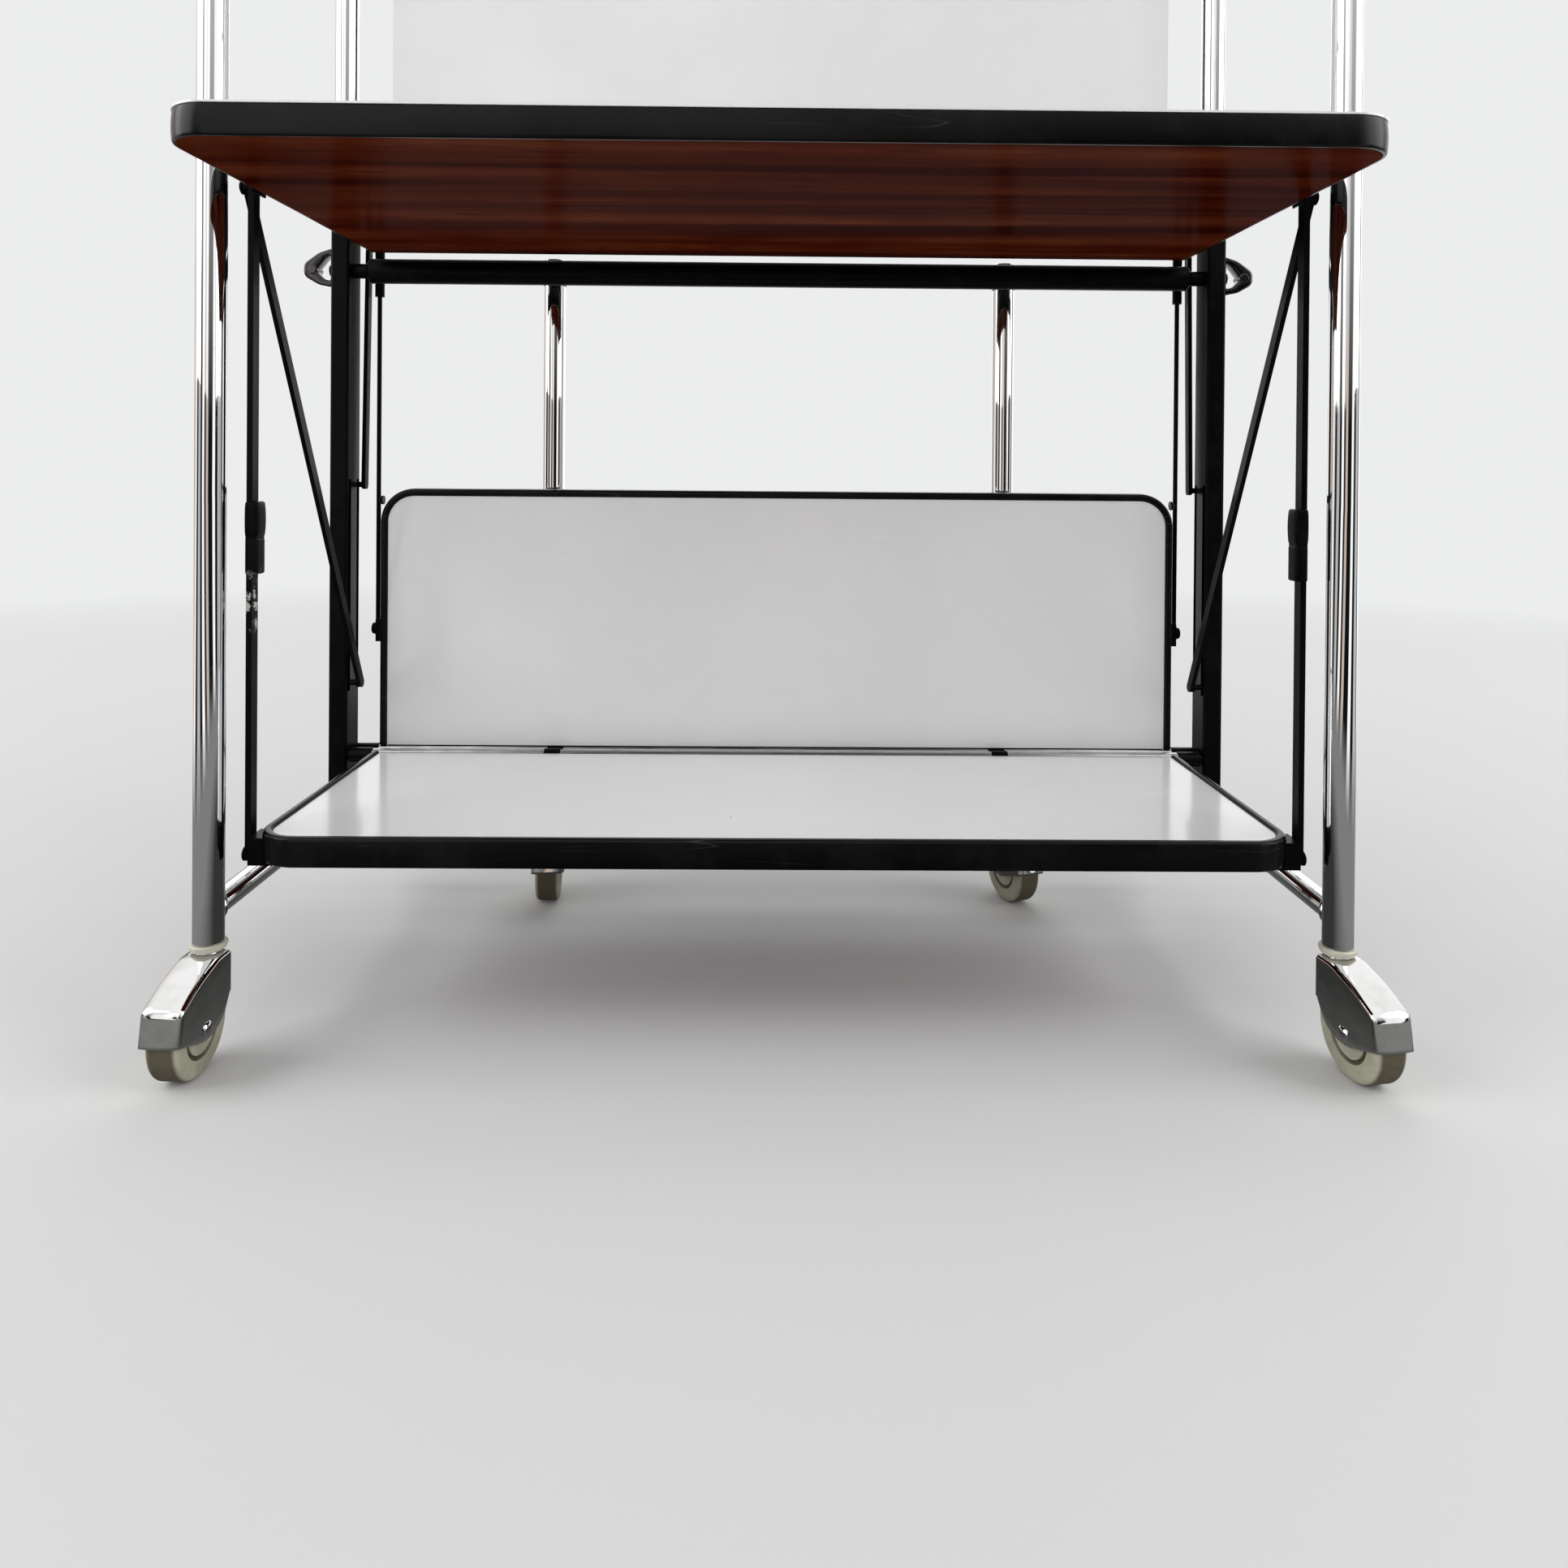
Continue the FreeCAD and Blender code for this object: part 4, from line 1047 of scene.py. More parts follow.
@dataclass
class RearLeg:
    """A rear leg with the arm and barrel that it swings on, and the stopper in its top."""

    side: Side
    leg_radius: float = 0.008
    leg_edge: float = 0.0003
    barrel_radius: float = 0.009
    barrel_half: float = 0.012
    barrel_edge: float = 0.0006
    bore_radius: float = 0.00408
    arm_radius: float = 0.0065
    bite: float = 0.7
    cap_rise: float = 0.0022
    cap_wall: float = 0.0006
    cap_length: float = 0.02
    cap_bevel: tuple[float, float] = (0.0005, 0.0006)
    cap_shoulder: float = 0.0016

    def build(self) -> None:
        """Make the leg and its stopper."""
        node, body = f"{self.side.word}_gate_leg", f"{self.side.word}_gate"
        low, high = node_box(node)
        sign = self.side.value
        pivot = joint_place(f"{self.side.word}_gate_swing")
        leg_x = low[0] + self.leg_radius if sign > 0 else high[0] - self.leg_radius
        foot = (leg_x, pivot[1], low[2])
        leg = rod(self.leg_radius, high[2] - low[2], self.leg_edge, foot, Z_WAY, sides=48)
        inset = self.leg_radius * self.bite
        arm_start = (leg_x + sign * inset, pivot[1], pivot[2])
        arm_length = abs(pivot[0] - leg_x) - inset - self.barrel_radius * self.bite
        arm = rod(self.arm_radius, arm_length, TUBE_EDGE, arm_start, sign * X_WAY)
        wall = [
            (self.barrel_radius, self.barrel_half - self.barrel_edge),
            (self.barrel_radius - self.barrel_edge, self.barrel_half),
            (self.bore_radius, self.barrel_half),
        ]
        barrel = turned(both_ways(wall), pivot, Z_WAY, bored=True)
        make_piece(f"{node}_tube", [leg, arm, barrel], CHROME, body, [node])
        wide = self.leg_radius + self.cap_wall
        mouth = [(wide - self.cap_bevel[0], 0.0), (wide, self.cap_bevel[1])]
        top = dome(wide, self.cap_rise, self.cap_length - self.cap_shoulder)[1:]
        cap = turned(mouth + top, (leg_x, pivot[1], high[2] - self.cap_length), Z_WAY)
        make_piece(f"{node}_stopper", [cap], STOPPER, body)


@dataclass
class LinkSleeve:
    """The two clamps over the place where the halves of a front link join."""

    side: Side
    drop: float = 0.173
    height: float = 0.039
    depth: float = 0.009
    cover: float = 0.0005
    corner: float = 0.0014
    end: float = 0.0012
    swell: float = 0.0005
    parting: float = 0.0007
    stay_side: float = 0.0001

    def build(self) -> None:
        """Make both clamps, the upper one a little swollen, and flat where the stay folds past them."""
        link = f"front_link_{self.side.word}"
        low, high = node_box(link)
        stud = joint_place(f"front_{self.side.word}_link_turn")
        top, bottom = stud[2] - self.drop + self.cover, stud[2] - self.drop - self.height - self.cover
        split = (top + bottom) / 2
        middle = ((low[0] + high[0]) / 2, stud[1])
        halves = ((high[0] - low[0]) / 2 + self.cover, self.depth / 2 + self.cover)
        upper = self.clamp(middle, halves, (split + self.parting / 2, top), self.swell)
        lower = self.clamp(middle, halves, (bottom, split - self.parting / 2), 0.0)
        sign = self.side.value
        outermost = max(sign * low[0], sign * high[0]) + self.stay_side

        def flattened(points: Array) -> Array:
            """Hold points inside the plane that the stay folds past."""
            return np.column_stack([sign * np.minimum(sign * points[:, 0], outermost), points[:, 1:]])

        clamps = [upper.moved(flattened), lower.moved(flattened)]
        make_piece(f"{link}_clamps", clamps, PAINT, f"front_{self.side.word}_link")

    def clamp(self, middle: Point, halves: Point, heights: tuple[float, float], swell: float) -> Shell:
        """One clamp, a rounded rectangle carried upwards.

        Its sides stand out by swell times one less the square of the height, counted from -1 at the bottom
        to 1 at the top, and each end is drawn in on a quarter circle of radius end.

        Args:
            middle: the X and Y of its middle.
            halves: half its width and half its depth.
            heights: its bottom and its top.
            swell: how far its sides stand out at mid-height.

        Returns:
            The clamp, closed.
        """
        half = np.array(halves)
        ring = rounded(half * [(-1, -1), (1, -1), (1, 1), (-1, 1)], self.corner, steps=6, closed=True)
        turn = np.linspace(0, np.pi / 2, 5)
        low_end = np.column_stack([heights[0] + self.end * (1 - np.cos(turn)), self.end * (1 - np.sin(turn))])
        high_end = (low_end * [-1, 1] + [sum(heights), 0])[::-1]
        body = np.linspace(low_end[-1, 0], high_end[0, 0], 9)[1:-1]
        rows = np.concatenate([low_end, np.column_stack([body, np.zeros(len(body))]), high_end])
        share = (2 * rows[:, 0] - sum(heights)) / (heights[1] - heights[0])
        reach = half + (swell * (1 - share**2) - rows[:, 1])[:, None]
        flat = ring[None] / half * reach[:, None] + np.array(middle)
        height = np.broadcast_to(rows[:, None, :1], flat.shape[:2] + (1,))
        return grid_shell(np.concatenate([flat, height], axis=2), wrap=True, caps=True)


@dataclass
class CatchLever:
    """A catch lever: a blunt loop with a solid tip, which a rivet goes through."""

    side: Side
    strip: float = 0.0048
    root_strip: float = 0.002
    tip_web: float = 0.0095
    tip_gap: float = 0.0034
    shoulder: float = 0.84
    nose: float = 0.0088
    lift: float = 0.003
    depth: float = 0.0055
    rim: float = 0.001
    outer_radii: tuple[float, float, float] = (0.002, 0.012, 0.0058)
    inner_radii: tuple[float, float, float] = (0.0012, 0.006, 0.0012)
    rivet_radius: float = 0.0034
    rivet_inset: float = 0.0062
    rivet_proud: float = 0.0008

    def build(self) -> None:
        """Make the loop and its rivet."""
        node, body = f"{self.side.word}_lever", f"{self.side.word}_catch"
        low, high = node_box(node)
        sign = self.side.value
        near, far = (low[0], high[0]) if sign > 0 else (high[0], low[0])
        middle, half = (low + high) / 2, (high[2] - low[2]) / 2
        outer = self.outline((near, far), middle[2], half, self.nose, self.outer_radii)
        hole = (near + sign * self.root_strip, far - sign * self.tip_web)
        inner = self.outline(hole, middle[2], half - self.strip, self.tip_gap, self.inner_radii)
        make_piece(f"{node}_loop", [self.loop(outer, inner, middle[1])], LEVER_PLATE, body, [node])
        length = 2 * (self.depth + self.rivet_proud)
        start = (far - sign * self.rivet_inset, middle[1] - length / 2, middle[2])
        rivet = rod(self.rivet_radius, length, self.rivet_proud, start, Y_WAY, sides=28)
        make_piece(f"{node}_rivet", [rivet], LEVER_PLATE, body)

    def outline(self, ends: Point, level: float, half: float, nose: float, radii: Point) -> Array:
        """Draw one outline of the loop, from its root at the post to its tip and back.

        Args:
            ends: the X of its root and of its tip.
            level: the height of its tip's middle.
            half: half its height at the root, without the lift of the upper arm.
            nose: its height at the tip.
            radii: the radius at the root, at the shoulder and at the tip.

        Returns:
            The closed line, as rows of X and Z.
        """
        near, far = ends
        waist = (near + far) / 2
        arm = self.shoulder * half
        corners = [
            (near, level - half),
            (waist, level - arm),
            (far, level - nose / 2),
            (far, level + nose / 2),
            (waist, level + arm + self.lift / 2),
            (near, level + half + self.lift),
        ]
        return rounded(corners, [*radii, *reversed(radii)], steps=10, closed=True)

    def loop(self, outer: Array, inner: Array, level: float) -> Shell:
        """Join two outlines by a strip with rounded rims.

        The point for outline step i and section step j is outer[i] + u[j] * (inner[i] - outer[i]), at v[j]
        from the middle, where u and v run round a rounded rectangle.

        Args:
            outer: the outer outline.
            inner: the outline of the hole, with as many points.
            level: the Y of the strip's middle.

        Returns:
            The closed loop.
        """
        corners = [(0, -self.depth), (self.strip, -self.depth), (self.strip, self.depth), (0, self.depth)]
        section = rounded(corners, self.rim, steps=4, closed=True)
        share = section[None, :, :1] / self.strip
        flat = outer[:, None] + share * (inner - outer)[:, None]
        across = np.broadcast_to(level + section[None, :, 1], flat.shape[:2])
        return grid_shell(np.stack([flat[..., 0], across, flat[..., 1]], axis=2), wrap=True, ring=True)


@dataclass
class Castor:
    """A castor: its pressed hood, stem, axle, wheel and collar.

    Attributes:
        hood_radii: the radius at each corner of the hood's line, with sill_radii for those of its sill.
        hood_angles: the angles in degrees where the hood's cross-section has a point.
        washer: rows of (radius, height over the hood's roof).
        face_line: rows of (radius, height over the wheel's side) across the wheel's face.
        face_blend: where the face's mark starts, inside the wheel's side, and over what depth it fades in.
        rim_line: rows of (inset from the flange's rim, height over its underside) on the collar.
        rim_bevel: the inset and depth of the flange's upper edge.
    """

    half: Half
    side: Side
    hood_half: float = 0.011
    hood_wall: float = 0.0012
    hood_steps: int = 72
    hood_radii: Point = (0, 0.003, 0.012, 0.08, 0.005, 0)
    hood_angles: Point = (0, 4, 9, 15, 22, 30, 39, 48, 57, 66, 75, 83)
    heel: float = 0.005
    flat: float = 0.009
    nose_reach: float = 0.044
    nose_top: float = 0.0445
    nose_bottom: float = 0.027
    nose_lip: float = 0.003
    cheek_bottom: float = 0.018
    cheek_back: float = 0.034
    sill_share: float = 0.25
    sill_rise: float = 0.004
    sill_radii: Point = (0, 0.016, 0.022, 0)
    edge: float = 0.0032
    crown: float = 0.62
    bulge: float = 0.0017
    roof_gap: float = 0.0003
    stem_radius: float = 0.004
    stem_sink: float = 0.001
    stem_edge: float = 0.0006
    washer: Line = ((0.0075, -0.0002), (0.0075, 0.0001), (0.0041, 0.0001))
    wheel_radius: float = 0.0245
    wheel_half: float = 0.0085
    wheel_edge: float = 0.003
    hub_rise: float = 0.0004
    face_line: Line = (
        (0.0062, 0.0004),
        (0.0068, -0.0002),
        (0.0126, -0.0002),
        (0.0128, -0.0024),
        (0.0148, -0.0024),
        (0.0151, 0.0),
    )
    face_blend: tuple[float, float] = (0.0024, 0.0014)
    axle_radius: float = 0.0025
    axle_gap: float = 0.0001
    head_radius: float = 0.004
    head_rise: float = 0.0017
    head_sweep: float = 1.45
    collar_rise: float = 0.0046
    bore_radius: float = 0.00408
    flange_radius: float = 0.00975
    plug_radius: float = 0.0068
    leg_gap: float = 0.0003
    rim_line: Line = ((0.0018, 0.0), (0.0009, 0.0005), (0.0004, 0.0014), (0.0, 0.0024))
    rim_bevel: tuple[float, float] = (0.0007, 0.0009)

    @property
    def name(self) -> str:
        """The castor's name as its nodes spell it."""
        return f"{self.half.value}_{self.side.word}"

    @property
    def trail(self) -> float:
        """How far the axle trails behind the stem."""
        gap = joint_place(f"{self.name}_swivel") - joint_place(f"{self.name}_roll")
        return float(np.linalg.norm(gap[:2]))

    def place(self, points: Array) -> Array:
        """Take points from the castor's own frame, trailing to -Y from a stem on Z, to where it stands."""
        stem, axle = joint_place(f"{self.name}_swivel"), joint_place(f"{self.name}_roll")
        back = (stem - axle)[:2] / np.linalg.norm((stem - axle)[:2])
        along_x, along_y = np.array([back[1], -back[0], 0.0]), np.array([back[0], back[1], 0.0])
        return points[:, :1] * along_x + points[:, 1:2] * along_y + points[:, 2:] * Z_WAY + stem * [1, 1, 0]

    def make(
        self,
        piece: str,
        shells: Sequence[Shell],
        finish: Finish,
        body: str,
        node: Optional[str] = None,
        wall: Optional[float] = None,
    ) -> bpy.types.Object:
        """Make a piece of the castor.

        Args:
            piece: what it is called after the castor's name.
            shells: its patches, in the castor's own frame.
            finish: its finish.
            body: the body that it moves with.
            node: the castor's node that it is shown in place of, if any.
            wall: the thickness that an open sheet gets.

        Returns:
            The new object.
        """
        placed = [shell.moved(self.place) for shell in shells]
        nodes = [f"{self.name}_{node}"] if node else []
        return make_piece(f"{self.name}_{piece}", placed, finish, body, nodes, wall)

    def build(self) -> None:
        """Make every piece of the castor."""
        castor, roller = f"{self.name}_castor", f"{self.name}_roller"
        holder = "frame" if self.half is Half.FRONT else f"{self.side.word}_gate"
        collar_low, collar_high = node_box(f"{self.name}_collar")
        roof = collar_low[2] - self.roof_gap
        stem_top = node_box(f"{self.name}_fork")[1][2]
        self.make("hood", [self.hood_shell(roof)], HOOD_PLATE, castor, "fork", self.hood_wall)
        stem_length, stem_start = stem_top - roof + self.stem_sink, (0, 0, roof - self.stem_sink)
        stem = rod(self.stem_radius, stem_length, self.stem_edge, stem_start, Z_WAY, sides=28)
        washer = turned(self.washer, (0, 0, roof), Z_WAY, sides=32)
        self.make("stem", [stem, washer, self.axle_shell()], CHROME, castor)
        self.mark_faces(self.make("tread", [self.wheel_shell()], TREAD, roller, "wheel"))
        collar = self.collar_shell(collar_low[2], roof + self.collar_rise, collar_high[2])
        self.make("bush", [collar], CREAM, holder, "collar")

    def hood_shell(self, roof: float) -> Shell:
        """The pressed hood as one sheet.

        The hood's back, roof and nose are a line in the trailing plane. Across the width, the sheet follows a
        quarter of a superellipse: at angle t it stands half the width times sin t to the power of crown from
        the middle, and the edge's depth times 1 less cos t to that power below the line. It then goes
        straight down the cheek to the sill: a point at share a of the line and share b of the cheek is
        (1 - b) * edge(a) + b * sill(a).

        Args:
            roof: the height of the hood's flat top.

        Returns:
            The outer sheet, facing out.
        """
        steps = self.hood_steps
        slope_top, slope_foot = np.array([self.flat, roof]), np.array([self.nose_reach, self.nose_top])
        slope = slope_foot - slope_top
        outward = np.array([-slope[1], slope[0]]) / np.linalg.norm(slope)
        profile = [
            (-self.heel, self.cheek_back),
            (-self.heel, roof),
            slope_top,
            (slope_top + slope_foot) / 2 + outward * self.bulge,
            slope_foot,
            (self.nose_reach + self.nose_lip, self.nose_bottom),
        ]
        line = evenly(rounded(profile, self.hood_radii, steps=12), steps)
        run = np.gradient(line, axis=0)
        run /= np.linalg.norm(run, axis=1, keepdims=True)
        inward = np.column_stack([run[:, 1], -run[:, 0]])
        edge_line = line + inward * self.edge
        sill = [
            edge_line[0],
            (self.trail * self.sill_share, self.cheek_bottom + self.sill_rise),
            (self.trail, self.cheek_bottom),
            edge_line[-1],
        ]
        sill_line = evenly(rounded(sill, self.sill_radii, steps=12), steps)
        quarter = [math.radians(t) for t in self.hood_angles]
        ways = [(math.sin(t) ** self.crown, 1 - math.cos(t) ** self.crown) for t in quarter] + [(1.0, 1.0)]
        columns = [(self.hood_half * x, line + inward * self.edge * depth) for x, depth in ways]
        columns += [(self.hood_half, (1 - b) * edge_line + b * sill_line) for b in np.linspace(0, 1, 8)[1:]]
        half = np.stack([np.insert(flat * [-1, 1], 0, x, axis=1) for x, flat in columns], axis=1)
        return grid_shell(np.concatenate([half[:, :0:-1] * [-1, 1, 1], half], axis=1))

    def axle_shell(self) -> Shell:
        """The axle across the hood, with a domed head outside each cheek."""
        reach = self.hood_half + self.axle_gap
        shaft = [(self.axle_radius, 0.0), (self.axle_radius, reach)]
        head = dome(self.head_radius, self.head_rise, reach, 6, self.head_sweep)[1:]
        return turned(both_ways(shaft + head), (0, -self.trail, self.wheel_radius), X_WAY, sides=28)

    def wheel_shell(self) -> Shell:
        """The wheel: a tread with rounded edges, a ring moulded in each face, and a hub round the axle."""
        r, w, edge = self.wheel_radius, self.wheel_half, self.wheel_edge
        turn = np.linspace(0, np.pi / 2, 7)
        shoulder = [(r - edge + edge * math.sin(t), w - edge + edge * math.cos(t)) for t in turn]
        hub = (self.axle_radius + self.axle_gap, w + self.hub_rise)
        face = [hub] + [(radius, w + height) for radius, height in self.face_line]
        return turned(both_ways((face + shoulder)[::-1]), (0, -self.trail, r), X_WAY, sides=64, bored=True)

    def mark_faces(self, wheel: bpy.types.Object) -> None:
        """Mark the wheel's side faces in an attribute.

        A point's mark goes from zero to one as its distance from the wheel's middle plane goes through
        the rounded shoulder.

        Args:
            wheel: the wheel's piece.
        """
        points = np.empty(3 * len(wheel.data.vertices))
        wheel.data.vertices.foreach_get("co", points)
        axle, tip = self.place(np.array([[0.0, -self.trail, 0.0], [1.0, -self.trail, 0.0]]))
        across = np.abs((points.reshape(-1, 3) - axle) @ (tip - axle))
        inset, fade = self.face_blend
        share = np.clip((across - self.wheel_half + inset) / fade, 0.0, 1.0)
        marks = wheel.data.attributes.new("side_face", "FLOAT", "POINT")
        marks.data.foreach_set("value", share.astype(np.float32))

    def collar_shell(self, bottom: float, leg_end: float, top: float) -> Shell:
        """The collar: a flange with a softened rim below the leg's end, and the plug inside the leg.

        Args:
            bottom: the flange's underside.
            leg_end: the height where the leg stands on it.
            top: the plug's upper end.

        Returns:
            The collar, with its bore.
        """
        rim, (inset, depth) = self.flange_radius, self.rim_bevel
        profile = [
            (self.bore_radius, bottom),
            *((rim - inwards, bottom + height) for inwards, height in self.rim_line),
            (rim, leg_end - depth),
            (rim - inset, leg_end - self.leg_gap),
            (self.plug_radius, leg_end - self.leg_gap),
            (self.plug_radius, top),
            (self.bore_radius, top),
        ]
        return turned(profile, (0, 0, 0), Z_WAY, sides=48, bored=True)


# Studio


class Panel(Enum):
    """The tones of the studio's upright panels that the plating shows."""

    WHITE = (1.45, 1.45, 1.45, 1.0)
    GREY = (0.7, 0.7, 0.71, 1.0)
    WARM = (0.8, 0.68, 0.6, 1.0)
    UMBER = (0.04, 0.026, 0.022, 1.0)
    DARK = (0.008, 0.008, 0.008, 1.0)


# Each panel's first and last bearing in degrees, from the camera's side at -Y, positive towards +X.
PANELS = (
    (-180, -150, Panel.WHITE),
    (-146, -137, Panel.DARK),
    (-133, -104, Panel.WARM),
    (-100, -88, Panel.WHITE),
    (-85, -71, Panel.UMBER),
    (-67, -52, Panel.GREY),
    (-49, -37, Panel.DARK),
    (-34, -22, Panel.WHITE),
    (-19, -9, Panel.UMBER),
    (-6, 6, Panel.WARM),
    (9, 36, Panel.DARK),
    (39, 54, Panel.WHITE),
    (57, 72, Panel.DARK),
    (76, 100, Panel.GREY),
    (104, 112, Panel.UMBER),
    (116, 180, Panel.WHITE),
)


@cache
def panel_group() -> bpy.types.NodeTree:
    """Give each bearing round the trolley its panel's tone.

    Returns:
        A group whose Tone is a ramp over the bearing of Vector, the angle of its X against its -Y.
    """
    ahead, full_turn = 0.5, 360
    group = Group("Panels", {}, ["Tone"], "Color")
    way = group.add("ShaderNodeSeparateXYZ", Vector=group.given["Vector"]).outputs
    turn = group.math("ARCTAN2", way["X"], group.times(way["Y"], -1.0))
    tones = group.add("ShaderNodeValToRGB", Fac=group.span(turn, -math.pi, math.pi))
    stops = [(ahead + end / full_turn, panel.value) for low, high, panel in PANELS for end in (low, high)]
    ramp = tones.color_ramp
    while len(ramp.elements) < len(stops):
        ramp.elements.new(ahead)
    for element, (position, tone) in zip(ramp.elements, stops):
        element.position = position
        element.color = tone
    return group.give(Tone=tones.outputs[0])


@dataclass(frozen=True)
class Lamp:
    """A square softbox that faces a point on the trolley's upright axis.

    Attributes:
        name: the lamp's name.
        place: where it hangs.
        aim: the height of the point that it faces.
        size: the length of its side.
        power: its power in watts.
    """

    name: str
    place: Point
    aim: float
    size: float
    power: float

    def hang(self) -> None:
        """Make the lamp and turn it to the point that it faces."""
        data = bpy.data.lights.new(self.name, "AREA")
        data.shape = "SQUARE"
        data.size = self.size
        data.energy = self.power
        lamp = linked(self.name, data)
        lamp.location = self.place
        way = Vector((0, 0, self.aim)) - Vector(self.place)
        lamp.rotation_euler = way.to_track_quat("-Z", "Y").to_euler()


LAMPS = (
    Lamp("left_softbox", (-2.2, -0.6, 1.45), aim=0.3, size=2.0, power=47.0),
    Lamp("right_softbox", (2.2, -0.6, 1.45), aim=0.3, size=2.0, power=44.5),
    Lamp("front_softbox", (-0.8, -2.5, 1.3), aim=0.3, size=1.6, power=6.0),
    Lamp("back_softbox", (0.4, 1.9, 2.3), aim=0.4, size=2.0, power=12.0),
)


@dataclass
class Studio:
    """The floor, the lamps, the surroundings and the camera at the photograph's place.

    Attributes:
        blend: how far from the trolley the floor starts and ends to fade into the backdrop.
        mat_reach: the same for the painted shadow under the trolley that the plating shows, into the painted grey
            around it.
        panel_foot: the same for that painted grey, into the foot of the panels.
        sky_span: the same for the panels, upwards into the sky.
        fill_tone: the light that reaches dull surfaces from all round.
    """

    floor_reach: float = 14.0
    floor_tone: Tone = (0.72, 0.72, 0.716, 1.0)
    floor_dulling: float = 0.97
    floor_rough: float = 0.75
    drift_scale: float = 1.2
    backdrop: Tone = (0.84, 0.845, 0.85, 1.0)
    blend: tuple[float, float] = (0.6, 2.6)
    # Glossy rays see the floor as a painted reflection: a painted shadow tone under the trolley and a painted grey
    # beyond it.
    shade_tone: Tone = (0.05, 0.05, 0.049, 1.0)
    mat_tone: Tone = (0.3, 0.3, 0.298, 1.0)
    mat_reach: tuple[float, float] = (0.22, 0.5)
    panel_foot: tuple[float, float] = (0.75, 1.1)
    sky_tone: Tone = (1.4, 1.4, 1.41, 1.0)
    sky_span: tuple[float, float] = (0.05, 0.75)
    fill_tone: Tone = (0.36, 0.362, 0.365, 1.0)
    camera_place: Point = (-0.002, -0.6777, 0.3204)
    camera_turn: Point = (89.673, -0.45, -0.506)
    lens: float = 25.31
    sensor: float = 36.0
    shift: tuple[float, float] = (-0.0009, -0.1967)
    clip_start: float = 0.01

    def build(self) -> None:
        """Make the whole studio."""
        self.build_floor()
        self.build_world()
        for lamp in LAMPS:
            lamp.hang()
        self.build_camera()

    def build_floor(self) -> None:
        """Make a wide pale floor, a flat grid."""
        reach = np.linspace(-self.floor_reach, self.floor_reach, 9)
        x, y = np.meshgrid(reach, reach, indexing="ij")
        shell = grid_shell(np.stack([x, y, np.zeros_like(x)], axis=2))
        mesh = bpy.data.meshes.new("floor")
        mesh.from_pydata(shell.points.tolist(), [], [face[::-1] for face in shell.faces])
        mesh.materials.append(self.floor_material())
        floor = linked("floor", mesh)

    def floor_material(self) -> bpy.types.Material:
        """The floor's finish, which fades into the backdrop, and shows plating a painted reflection: a painted
        shadow under the trolley, a painted grey and the panels.
        """
        look = bpy.data.materials.new("pale_floor")
        look.use_nodes = True
        tree = Tree(look.node_tree)
        place = tree.add("ShaderNodeTexCoord").outputs["Object"]
        drift = tree.span(tree.noise(place, self.drift_scale, detail=2.0), low=0.3, high=0.7)
        dull = (*(self.floor_dulling * part for part in self.floor_tone[:3]), 1.0)
        colour = tree.mix(drift, self.floor_tone, dull)
        shader = tree.add("ShaderNodeBsdfPrincipled", Base_Color=colour, Roughness=self.floor_rough)
        away = tree.add("ShaderNodeVectorMath", {"operation": "LENGTH"}, in_0=place).outputs["Value"]
        rays = tree.add("ShaderNodeLightPath").outputs
        seen = tree.math("MAXIMUM", rays["Is Camera Ray"], rays["Is Transmission Ray"])
        fade = tree.times(tree.span(away, *self.blend), seen)
        panels = tree.add("ShaderNodeGroup", {"node_tree": panel_group()}, Vector=place).outputs["Tone"]
        # Painted shadow under the trolley, fading into a painted grey and further out into the panels; the floor
        # glows with it for glossy rays only.
        painted_near_reflection = tree.mix(tree.span(away, *self.mat_reach), self.shade_tone, self.mat_tone)
        shown = tree.mix(tree.span(away, *self.panel_foot), painted_near_reflection, panels)
        glow = tree.add("ShaderNodeEmission", Color=tree.mix(seen, shown, self.backdrop), Strength=1.0)
        far = tree.math("MAXIMUM", fade, rays["Is Glossy Ray"])
        both = tree.add("ShaderNodeMixShader", in_0=far, in_1=shader.outputs[0], in_2=glow.outputs[0])
        tree.add("ShaderNodeOutputMaterial", Surface=both.outputs[0])
        return look

    def build_world(self) -> None:
        """Surround the trolley with soft light, and with the studio's panels for the plating to show."""
        world = bpy.data.worlds.new("studio")
        world.use_nodes = True
        bpy.context.scene.world = world
        tree = Tree(world.node_tree)
        towards = tree.add("ShaderNodeTexCoord").outputs["Generated"]
        height = tree.add("ShaderNodeSeparateXYZ", Vector=towards).outputs["Z"]
        panels = tree.add("ShaderNodeGroup", {"node_tree": panel_group()}, Vector=towards).outputs["Tone"]
        mirrored = tree.mix(tree.span(height, *self.sky_span), panels, self.sky_tone)
        rays = tree.add("ShaderNodeLightPath").outputs
        seen = tree.mix(rays["Is Camera Ray"], mirrored, self.backdrop)
        direct = tree.math("MAXIMUM", rays["Is Camera Ray"], rays["Is Glossy Ray"])
        direct = tree.math("MAXIMUM", direct, rays["Is Transmission Ray"])
        light = tree.add("ShaderNodeBackground", Color=tree.mix(direct, self.fill_tone, seen), Strength=1.0)
        tree.add("ShaderNodeOutputWorld", Surface=light.outputs[0])

    def build_camera(self) -> None:
        """Stand the camera in front of the trolley, a little turned and rolled, as the photograph has it."""
        data = bpy.data.cameras.new("camera")
        data.lens = self.lens
        data.sensor_width = self.sensor
        data.shift_x, data.shift_y = self.shift
        data.clip_start = self.clip_start
        camera = linked("camera", data)
        camera.location = self.camera_place
        camera.rotation_euler = tuple(math.radians(turn) for turn in self.camera_turn)
        bpy.context.scene.camera = camera


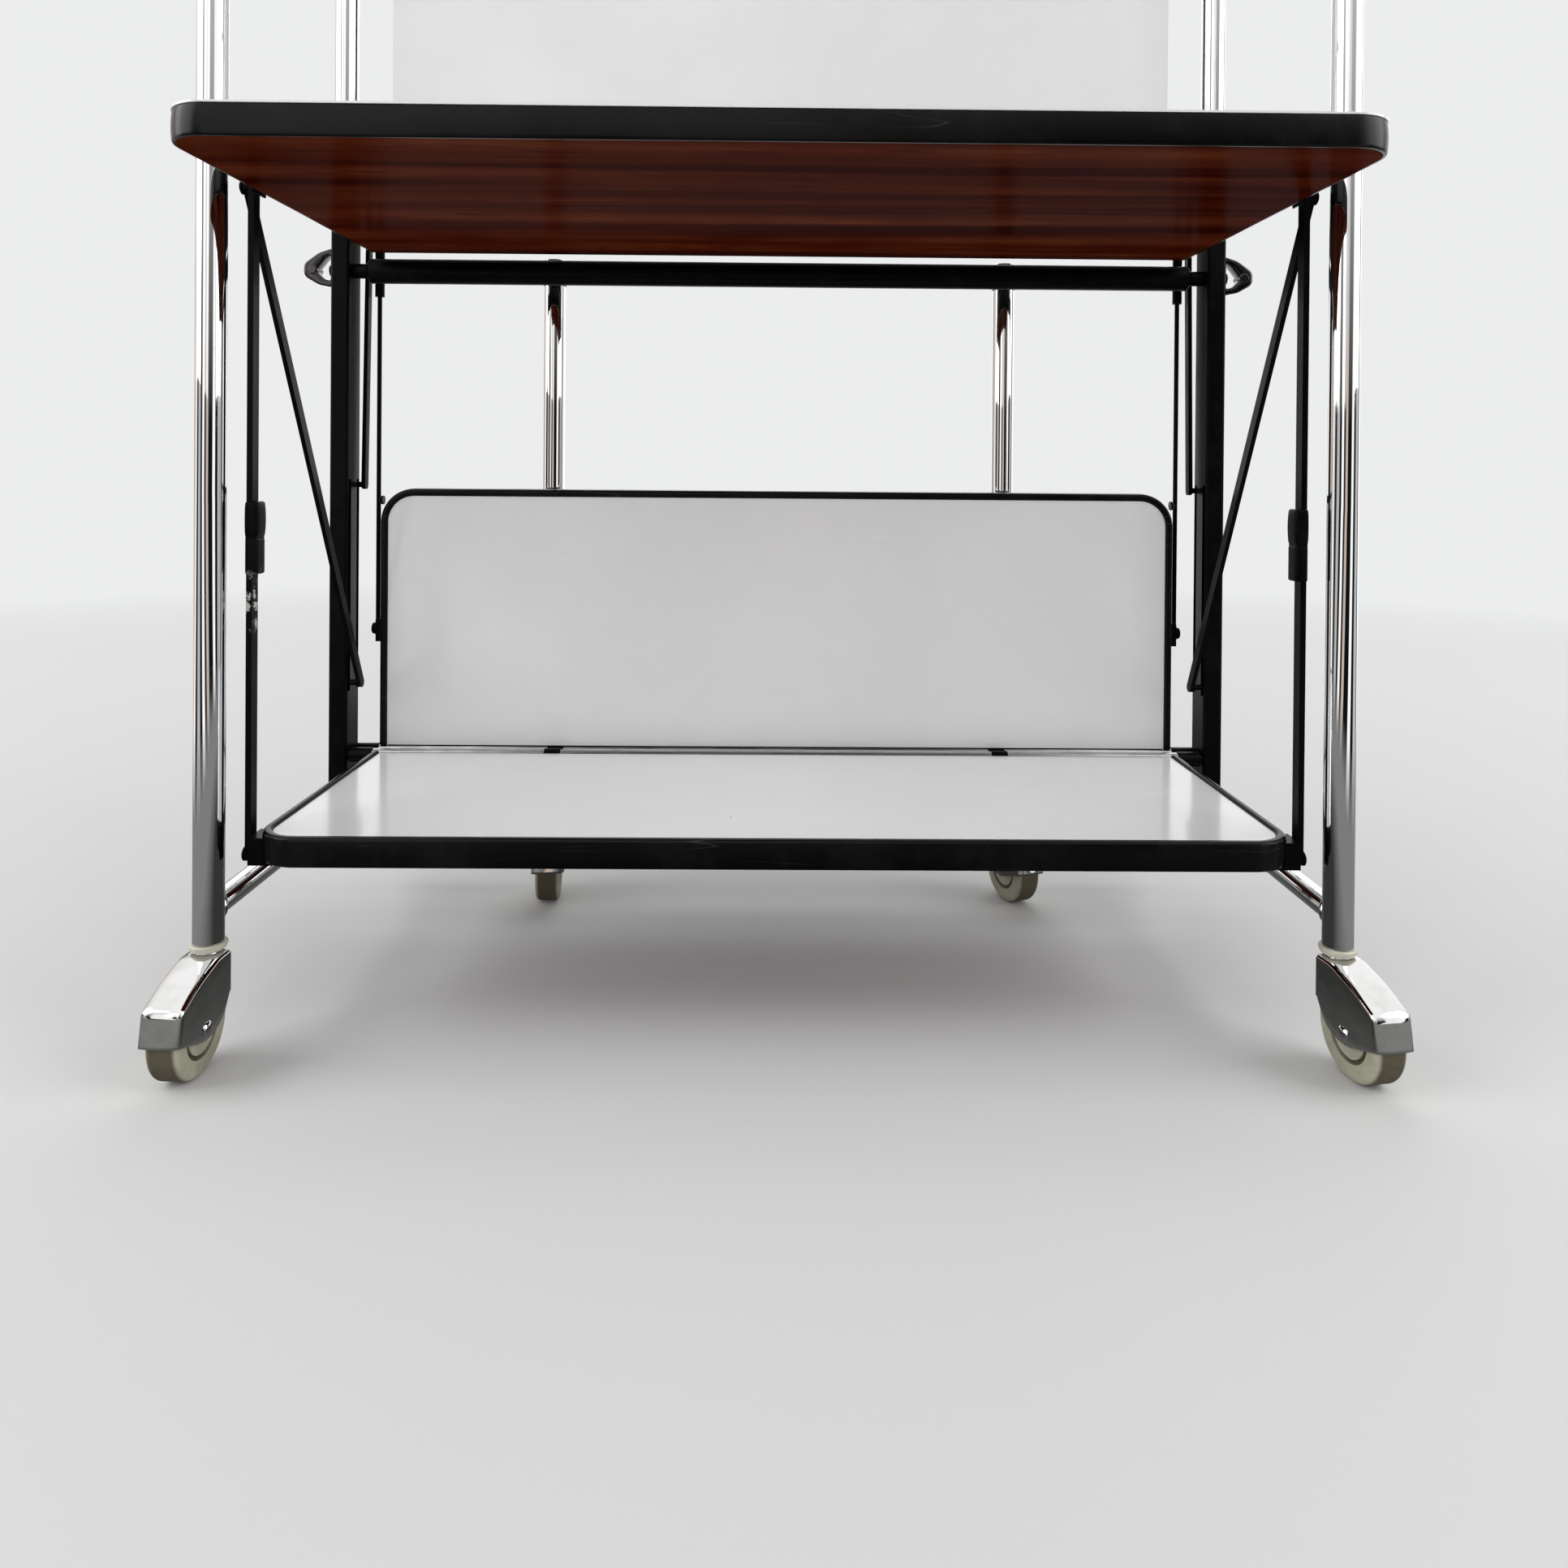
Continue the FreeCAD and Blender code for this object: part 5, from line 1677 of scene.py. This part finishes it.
def main() -> None:
    """Build every sub-assembly in order, then the studio round them."""
    logging.basicConfig(level=logging.INFO, format="%(name)s: %(message)s")
    bpy.context.scene.view_settings.view_transform = "Standard"
    dress_nodes()
    Crossbars().build()
    for side in Side:
        SideFrame(side).build()
        RearLeg(side).build()
        CatchLever(side).build()
        LinkSleeve(side).build()
    for tray in Tray:
        for half in Half:
            Leaf(tray, half).build()
            Rivets(tray, half).build()
    for half in Half:
        for side in Side:
            Castor(half, side).build()
    Studio().build()


if __name__ == "__main__":
    main()
